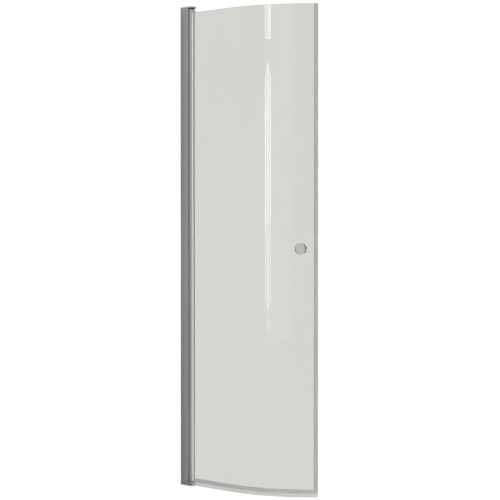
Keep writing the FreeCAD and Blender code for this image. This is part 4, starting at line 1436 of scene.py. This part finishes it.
@dataclass
class BottomSeal:
    """Clear carrier on the bottom edge of the glass and the soft wiper under it."""

    start: float = 20.04 * MM
    grip_end: float = 584.2 * MM
    web_overlap: float = 4.0 * MM
    inside: float = 3.05 * MM
    outside: float = 4.25 * MM
    fit: float = 0.02 * MM
    lip: float = 0.3 * MM
    lip_round: float = 0.12 * MM
    corner_round: float = 0.25 * MM
    web_bottom: float = 17.9 * MM
    grip_top: float = 33.0 * MM
    shoulder: float = 30.6 * MM
    shoulder_round: float = 1.0 * MM
    fin_reach: float = 9.0 * MM
    fin_drop: float = 5.0 * MM
    fin_root: float = 1.4 * MM
    fin_tip: float = 0.8 * MM
    fin_round: float = 0.3 * MM
    wiper_floor_gap: float = 1.5 * MM
    wiper_root: float = 3.2 * MM
    wiper_tip: float = 1.2 * MM
    wiper_tip_rise: float = 0.2 * MM
    wiper_lean: float = 2.5 * MM
    wiper_corner: float = 6.0 * MM

    def build(self, maker: Maker) -> None:
        """Builds and dresses the carrier and the wiper.

        Args:
            maker: makes the pieces.
        """
        finishes = maker.finishes
        body = Body.DOOR
        maker.piece("seal_carrier", self.carrier(), finishes.carrier, body, ["bottom_seal"], clear=True)
        maker.piece("seal_wiper", self.wiper(), finishes.wiper, body, ["bottom_wiper"], clear=True)

    def grip_section(self, place: float) -> list[Point]:
        """Section of the carrier with its grip and drip fin.

        Args:
            place: distance along the door, which doesn't change it.

        Returns:
            The section's offsets and heights.
        """
        low, fin = self.web_bottom, self.outside + self.fin_reach
        fin_low = low - self.fin_drop
        seat = PATH.glass_bottom - self.fit
        return rounded(
            [
                (self.outside, low, self.corner_round),
                (self.outside, self.shoulder, self.shoulder_round),
                (self.inside + self.lip, self.grip_top, self.lip_round),
                (self.inside, self.grip_top, self.lip_round),
                (self.inside, seat, 0.0),
                (-self.inside, seat, 0.0),
                (-self.inside, self.grip_top, self.lip_round),
                (-self.inside - self.lip, self.grip_top, self.lip_round),
                (-self.outside, self.shoulder, self.shoulder_round),
                (-self.outside, low + self.fin_root, self.corner_round),
                (-fin, fin_low + self.fin_tip, self.fin_round),
                (-fin, fin_low, self.fin_round),
                (-self.outside, low, self.corner_round),
            ],
            steps=4,
        )

    def web_section(self, place: float) -> list[Point]:
        """Section of the web that runs on under the magnet strip, at any place."""
        high, corners = PATH.glass_bottom - self.fit, (self.corner_round, self.corner_round)
        return rounded(rectangle(-self.outside, self.outside, self.web_bottom, high, corners), steps=4)

    def carrier(self) -> Mesh:
        """Carrier with its grip, and with its web on to the door's end.

        Returns:
            The mesh.
        """
        grip = PATH.sweep(self.grip_section, self.start, self.grip_end)
        web = PATH.sweep(self.web_section, self.grip_end - self.web_overlap, PATH.door_end)
        return combined(grip, [web], Operation.JOIN)

    def wiper_section(self, place: float) -> list[Point]:
        """Section of the wiper, shorter where its free corner is rounded.

        Args:
            place: distance along the door.

        Returns:
            The section's offsets and heights.
        """
        high, low = self.web_bottom - self.fit, self.wiper_floor_gap
        past = max(0.0, place - (PATH.door_end - self.wiper_corner))
        tip = low + self.wiper_corner - math.sqrt(max(0.0, self.wiper_corner ** 2 - past ** 2))
        share = (high - tip) / (high - low)
        root = self.wiper_root / 2
        half = root + (self.wiper_tip / 2 - root) * share
        lean, side = -self.wiper_lean * share, tip + self.wiper_tip_rise
        return [(root, high), (-root, high), (lean - half, side), (lean, tip), (lean + half, side)]

    def wiper(self) -> Mesh:
        """Soft lip under the carrier."""
        return PATH.sweep(self.wiper_section, self.start, PATH.door_end)


@dataclass
class MagnetEdge:
    """Clear strip on the free edge of the glass, with the magnet in its chamber."""

    start: float = 584.7 * MM
    inside: float = BottomSeal.inside
    outside: float = BottomSeal.outside
    glass_fit: float = BottomSeal.fit
    half: float = 5.0 * MM
    corner: float = 1.5 * MM
    small_round: float = 0.3 * MM
    wall: float = 0.9 * MM
    chamber_round: float = 0.6 * MM
    magnet_fit: float = 0.1 * MM
    magnet_round: float = 0.5 * MM

    def build(self, maker: Maker) -> None:
        """Builds and dresses the strip and its magnet.

        Args:
            maker: makes the pieces.
        """
        finishes = maker.finishes
        body = Body.DOOR
        maker.piece("edge_strip", self.strip(), finishes.edge_strip, body, ["magnet_seal"], clear=True)
        maker.piece("edge_magnet", self.magnet(), finishes.magnet, body, ["magnet_strip"])

    def plan(self, corners: Sequence[Corner]) -> list[Point]:
        """Lays an outline on the floor's plane.

        Args:
            corners: place along the door, offset and rounding radius of each corner.

        Returns:
            The outline's points.
        """
        points = [PATH.point(place, offset, 0.0) for place, offset in rounded(corners)]
        return [(point.x, point.y) for point in points]

    def strip(self) -> Mesh:
        """Strip with a grip for the glass and a chamber.

        Returns:
            The mesh.
        """
        small, shoulder = self.small_round, PATH.glass_end
        seat = shoulder + self.glass_fit
        outline = self.plan(
            [
                (self.start, -self.outside, small),
                (shoulder, -self.outside, 0.0),
                (shoulder, -self.half, small),
                (PATH.door_end, -self.half, self.corner),
                (PATH.door_end, self.half, self.corner),
                (shoulder, self.half, small),
                (shoulder, self.outside, 0.0),
                (self.start, self.outside, small),
                (self.start, self.inside, small),
                (seat, self.inside, 0.0),
                (seat, -self.inside, 0.0),
                (self.start, -self.inside, small),
            ]
        )
        chamber = self.plan(self.room(self.wall, (small, self.chamber_round)))
        return prism([outline, chamber], PATH.glass_bottom, PATH.glass_top)

    def room(self, inset: float, rounds: Point) -> list[Corner]:
        """Corners of the strip's thick part, drawn in from its sides and with these rounds."""
        side = self.half - inset
        return rectangle(PATH.glass_end + inset, PATH.door_end - inset, -side, side, rounds)

    def magnet(self) -> Mesh:
        """Magnet in the chamber."""
        corners = self.room(self.wall + self.magnet_fit, (self.magnet_round, self.magnet_round))
        return prism([self.plan(corners)], PATH.glass_bottom, PATH.glass_top)


@dataclass
class DoorKnob:
    """Round knobs on both sides of the glass, with their fixing."""

    radius: float = 23.5 * MM
    length: float = 20.0 * MM
    bevel: float = 4.5 * MM
    bevel_round: float = 0.8 * MM
    base_chamfer: float = 1.5 * MM
    base_rounds: Point = (0.3 * MM, 0.4 * MM)
    stand_off: float = 4.0 * MM
    stud_radius: float = 3.05 * MM
    grub_offset: float = 9.5 * MM
    grub_radius: float = 2.05 * MM

    def build(self, maker: Maker) -> None:
        """Builds the two knobs and dresses their fixing.

        Args:
            maker: makes the pieces.
        """
        finishes = maker.finishes
        outer, inner = self.knob(1), self.knob(-1)
        spot = PATH.point(PATH.knob_place, -self.grub_offset, PATH.knob_height)
        grub = circle((spot.x, spot.y), self.grub_radius, steps=32)
        hole = prism([grub], spot.z - 2 * self.radius, spot.z - self.stud_radius)
        inner = combined(inner, [hole], Operation.CUT)
        maker.piece("outer_knob", outer, finishes.knob, Body.DOOR, ["knob_outer"])
        maker.piece("inner_knob", inner, finishes.knob, Body.DOOR, ["knob_inner"])
        maker.dress(finishes.washer, "knob_washer_outer", "knob_washer_inner")
        maker.dress(finishes.plug, "knob_sleeve")
        maker.dress(finishes.steel, "knob_stud", "knob_grub_screw")

    def knob(self, way: int) -> Mesh:
        """Turned knob on one side of the glass.

        Args:
            way: 1 for the outside, -1 for the inside.

        Returns:
            The mesh.
        """
        radius, length, bevel, base = self.radius, self.length, self.bevel, self.base_chamfer
        profile = rounded(
            [
                (0.0, 0.0, 0.0),
                (radius - base, 0.0, self.base_rounds[0]),
                (radius, base, self.base_rounds[1]),
                (radius, length - bevel, self.bevel_round),
                (radius - bevel, length, self.bevel_round),
                (0.0, length, 0.0),
            ],
            steps=4,
        )
        place = PATH.point(PATH.knob_place, way * self.stand_off, PATH.knob_height)
        return moved(lathe(profile, steps=128), place, PATH.outward(PATH.knob_place) * way)


@dataclass
class LowerPivot:
    """Pin and clip of the lower hinge, which keep their CAD shapes."""

    nodes: tuple[str, ...] = ("lower_pivot_pin", "pivot_clip")

    def build(self, maker: Maker) -> None:
        """Dresses the pin and the clip."""
        maker.dress(maker.finishes.steel, *self.nodes)


# Studio


STAGE_CENTRE_X = 0.2


class Shown(Enum):
    """Reflections that show a studio panel's own light."""

    SATIN = "satin"
    MIRROR = "mirror"


@dataclass(frozen=True)
class Panel:
    """Flat studio panel that only reflections show, with one light or a light for each corner."""

    name: str
    shown: Shown
    corners: tuple[Corner, ...]
    lights: tuple[float, ...]


def floor_panel(
    name: str, outline: Sequence[Point], lights: tuple[float, ...], rise: float = 2.0 * MM
) -> Panel:
    """Panel just above the floor, for satin metal to reflect."""
    return Panel(name, Shown.SATIN, tuple((x, y, rise) for x, y in outline), lights)


def standing_panel(
    name: str, shown: Shown, sides: tuple[Point, Point], heights: Point, lights: tuple[float, ...]
) -> Panel:
    """Upright panel between two places on the floor's plan.

    Args:
        name: the panel's name.
        shown: the reflections that show its own light.
        sides: the places of its left and right sides.
        heights: heights of its lower and upper edges.
        lights: one light, or a light for each corner from the lower left one round to the right.

    Returns:
        The panel.
    """
    (left, right), (low, high) = sides, heights
    return Panel(name, shown, ((*left, low), (*right, low), (*right, high), (*left, high)), lights)


def facing_panel(
    name: str, azimuth: float, distance: float, width: float, heights: Point, lights: Point
) -> Panel:
    """Upright panel that faces the door, for satin metal to reflect.

    Args:
        name: the panel's name.
        azimuth: its direction from the door, in degrees from the outside towards +X.
        distance: its distance from the door.
        width: its width.
        heights: heights of its lower and upper edges.
        lights: lights of those edges.

    Returns:
        The panel.
    """
    turn = math.radians(azimuth)
    middle = Vector((STAGE_CENTRE_X + distance * math.sin(turn), -distance * math.cos(turn)))
    along = Vector((math.cos(turn), math.sin(turn))) * (width / 2)
    low, high = lights
    sides = (tuple(middle - along), tuple(middle + along))
    return standing_panel(name, Shown.SATIN, sides, heights, (low, low, high, high))


@dataclass(frozen=True)
class LightStrip:
    """Upright light strip in front of the door, for the glass to reflect, in three lengths."""

    name: str
    sides: Point
    foot: Point
    head: Point
    lights: tuple[float, float, float]
    distance: float = 3.0
    step: float = 1.088
    upper: Point = (2.204, 2.6)

    def panels(self) -> list[Panel]:
        """Makes the strip's panels.

        Returns:
            Its lower and middle lengths, and a separate one above them.
        """
        step = (self.step, self.step)
        lengths = ((self.foot, step), (step, self.head), ((self.upper[0],) * 2, (self.upper[1],) * 2))
        left, right = self.sides
        found = []
        for place, ((low_left, low_right), (high_left, high_right)) in enumerate(lengths):
            outline = ((left, low_left), (right, low_right), (right, high_right), (left, high_left))
            corners = tuple((x, -self.distance, height) for x, height in outline)
            found.append(Panel(f"{self.name}_{place}", Shown.MIRROR, corners, (self.lights[place],)))
        return found


@dataclass(frozen=True)
class SoftLamp:
    """Wide lamp far away, with its direction in degrees and its strength."""

    name: str
    azimuth: float
    height: float
    strength: float
    spread: float = 40.0


@dataclass
class Studio:
    """Floor, backdrop light, lamps, reflection panels and the camera."""

    camera_place: Corner = (4.312, -4.368, 1.1275)
    camera_azimuth: float = 42.0
    camera_dip: float = 0.743
    lens: float = 105.14
    sensor: float = 36.0
    sight: float = 200.0
    horizon_shift: float = -0.03
    floor_half: float = 60.0
    floor_drop: float = 0.4 * MM
    floor_plain: float = 0.8
    floor_colour: float = 0.2
    floor_glow: float = 0.8
    ambient: float = 0.75
    plain_light: float = 0.45
    soft_lamps: tuple[SoftLamp, ...] = (
        SoftLamp("key_light", 75.0, 50.0, 0.9),
        SoftLamp("inside_light", 215.0, 55.0, 0.315),
    )
    strips: tuple[LightStrip, ...] = (
        LightStrip("thin_strip", (0.392, 0.424), (0.60, 0.60), (1.98, 1.99), (9.2, 14.5, 12.0)),
        LightStrip("left_strip", (0.492, 0.55), (0.57, 0.53), (2.04, 2.075), (6.0, 8.4, 5.6)),
        LightStrip("middle_strip", (0.55, 0.66), (0.54, 0.58), (2.07, 2.02), (3.2, 4.3, 6.0)),
        LightStrip("right_strip", (0.66, 0.718), (0.58, 0.61), (2.02, 1.98), (4.6, 8.0, 6.6)),
    )
    panels: tuple[Panel, ...] = (
        facing_panel("left_flag", -28.5, 3.2, 2.75, (0.0, 3.4), (0.17, 0.43)),
        facing_panel("front_flag", 8.0, 3.4, 1.8, (0.0, 3.4), (0.40, 0.60)),
        facing_panel("back_flag", 135.0, 3.0, 4.6, (0.1, 2.3), (0.19, 0.24)),
        facing_panel("soft_panel", 78.0, 7.5, 2.6, (0.3, 3.6), (1.4, 1.5)),
        floor_panel(
            "floor_flag",
            (
                (-0.5, -0.016),
                (-2.9, -0.9),
                (-1.6, -2.6),
                (-0.25, -0.3),
                (0.2, -0.3),
                (0.2, -0.1),
                (0.08, -0.016),
            ),
            (0.33,),
        ),
        standing_panel(
            "post_flag", Shown.SATIN, ((-0.10, -0.05), (0.04, -0.085)), (0.0, 2.0), (0.0, 0.75, 0.94, 0.0)
        ),
        floor_panel(
            "foot_shade",
            ((-0.05, -0.016), (-0.07, -0.028), (0.05, -0.028), (0.066, -0.016)),
            (0.05,),
            3.0 * MM,
        ),
        standing_panel(
            "high_flag", Shown.SATIN, ((2.4, 2.04), (3.6, 0.84)), (2.3, 4.2), (0.24, 0.24, 0.3, 0.3)
        ),
        floor_panel(
            "back_floor_flag",
            ((1.15, 0.75), (1.35, 0.35), (2.9, 1.1), (2.4, 1.7)),
            (0.35, 0.35, 0.25, 0.25),
        ),
        floor_panel("front_floor_flag", ((0.0, -0.31), (-0.4, -3.4), (1.9, -3.2), (0.25, -0.31)), (0.4,)),
        standing_panel("low_spot", Shown.MIRROR, ((0.5, -3.0), (0.7, -3.0)), (0.42, 0.5), (2.6,)),
        standing_panel("wide_glow", Shown.MIRROR, ((0.37, -3.02), (1.9, -3.02)), (0.35, 2.8), (1.4,)),
    )

    def build(self) -> None:
        """Builds the studio."""
        self.world()
        self.floor()
        for lamp in self.soft_lamps:
            self.lamp(lamp)
        looks = {shown: self.panel_light(shown) for shown in Shown}
        panels = list(self.panels)
        for strip in self.strips:
            panels += strip.panels()
        for panel in panels:
            self.panel(panel, looks[panel.shown])
        self.camera()

    @staticmethod
    def seen_rays(tree: Tree) -> Socket:
        """Finds the rays that show the background: from the camera, reflected or through glass.

        Args:
            tree: the tree that needs them.

        Returns:
            1 for those rays and 0 for others.
        """
        path = tree.add("LightPath").outputs
        reflected = tree.maths("MAXIMUM", path["Is Camera Ray"], path["Is Glossy Ray"])
        return tree.maths("MAXIMUM", reflected, path["Is Transmission Ray"])

    def world(self) -> None:
        """White backdrop, and a soft even light from all round."""
        world = bpy.data.worlds.new("white_backdrop")
        world.use_nodes = True
        tree = Tree(world.node_tree)
        white = tree.add("Background", {"Color": WHITE})
        soft = tree.add("Background", {"Color": WHITE, "Strength": self.ambient})
        tree.surface(tree.mixed(self.seen_rays(tree), soft, white), "OutputWorld")
        bpy.context.scene.world = world

    def floor(self) -> None:
        """Pale floor that keeps the shadow and is white where nothing shades it."""
        size = self.floor_half
        mesh = bmesh.new()
        corners = rounded(rectangle(-size, size, -size, size))
        mesh.faces.new([mesh.verts.new((x, y, -self.floor_drop)) for x, y in corners])
        shown = loose_object("floor", mesh)
        material, tree = new_material("pale_floor")
        plain = tree.add("BsdfDiffuse", {"Color": (self.floor_plain,) * 3})
        shaded = tree.add("BsdfDiffuse", {"Color": (self.floor_colour,) * 3})
        glow = tree.add("Emission", {"Strength": self.floor_glow})
        lit = tree.add("AddShader", {0: shaded.outputs[0], 1: glow.outputs[0]})
        tree.surface(tree.mixed(self.seen_rays(tree), plain, lit))
        shown.data.materials.append(material)

    def lamp(self, lamp: SoftLamp) -> None:
        """Builds a lamp.

        Args:
            lamp: its direction and strength.
        """
        data = bpy.data.lights.new(lamp.name, "SUN")
        data.energy = lamp.strength
        data.angle = math.radians(lamp.spread)
        shown = bpy.data.objects.new(lamp.name, data)
        turn, rise = math.radians(lamp.azimuth), math.radians(lamp.height)
        level = math.cos(rise)
        away = Vector((math.sin(turn) * level, -math.cos(turn) * level, math.sin(rise)))
        shown.rotation_mode = "QUATERNION"
        shown.rotation_quaternion = (-away).to_track_quat("-Z", "Y")
        shown.visible_glossy = False
        bpy.context.scene.collection.objects.link(shown)

    def panel_light(self, shown: Shown) -> bpy.types.Material:
        """Light of the panels: their own in one kind of reflection, and plain in the other.

        Args:
            shown: the kind of reflection that shows their own light.

        Returns:
            The material.
        """
        material, tree = new_material(shown.value + "_panel")
        own = tree.add("Attribute", attribute_name="light").outputs["Fac"]
        path = tree.add("LightPath").outputs
        if shown is Shown.SATIN:
            satin, mirror = own, 1.0
        else:
            front = tree.maths("LESS_THAN", path["Transmission Depth"], 0.5)
            satin, mirror = self.plain_light, tree.pick(front, 1.0, own)
        strength = tree.pick(path["Is Singular Ray"], satin, mirror)
        tree.surface(tree.add("Emission", {"Strength": strength}))
        return material

    def panel(self, panel: Panel, look: bpy.types.Material) -> None:
        """Builds a panel, hidden from everything but reflections.

        Args:
            panel: its corners and lights.
            look: its material.
        """
        mesh = bmesh.new()
        layer = mesh.verts.layers.float.new("light")
        corners = [mesh.verts.new(place) for place in panel.corners]
        lights = panel.lights * len(corners) if len(panel.lights) == 1 else panel.lights
        for corner, light in zip(corners, lights):
            corner[layer] = light
        mesh.faces.new(corners)
        shown = loose_object(panel.name, mesh)
        shown.data.materials.append(look)
        shown.visible_camera = False
        shown.visible_diffuse = False
        shown.visible_transmission = False
        shown.visible_shadow = False
        shown.visible_volume_scatter = False

    def camera(self) -> None:
        """Camera at the photograph's viewing angle, almost level."""
        data = bpy.data.cameras.new("camera")
        data.sensor_fit = "HORIZONTAL"
        data.sensor_width = self.sensor
        data.lens = self.lens
        data.shift_y = self.horizon_shift
        data.clip_end = self.sight
        shown = bpy.data.objects.new("camera", data)
        shown.location = self.camera_place
        tilt, turn = math.radians(90.0 - self.camera_dip), math.radians(self.camera_azimuth)
        shown.rotation_euler = (tilt, 0.0, turn)
        bpy.context.scene.collection.objects.link(shown)
        bpy.context.scene.camera = shown


def main() -> None:
    """Builds the door, dresses it and sets up the studio."""
    logging.basicConfig(level=logging.INFO, format="%(message)s")
    bpy.context.scene.view_settings.view_transform = "Standard"
    maker = Maker(Finishes())
    parts = [WallPost(), HingeBarrel(), GlassPane(), BottomSeal(), MagnetEdge(), DoorKnob(), LowerPivot()]
    for part in parts:
        part.build(maker)
    Studio().build()


if __name__ == "__main__":
    main()
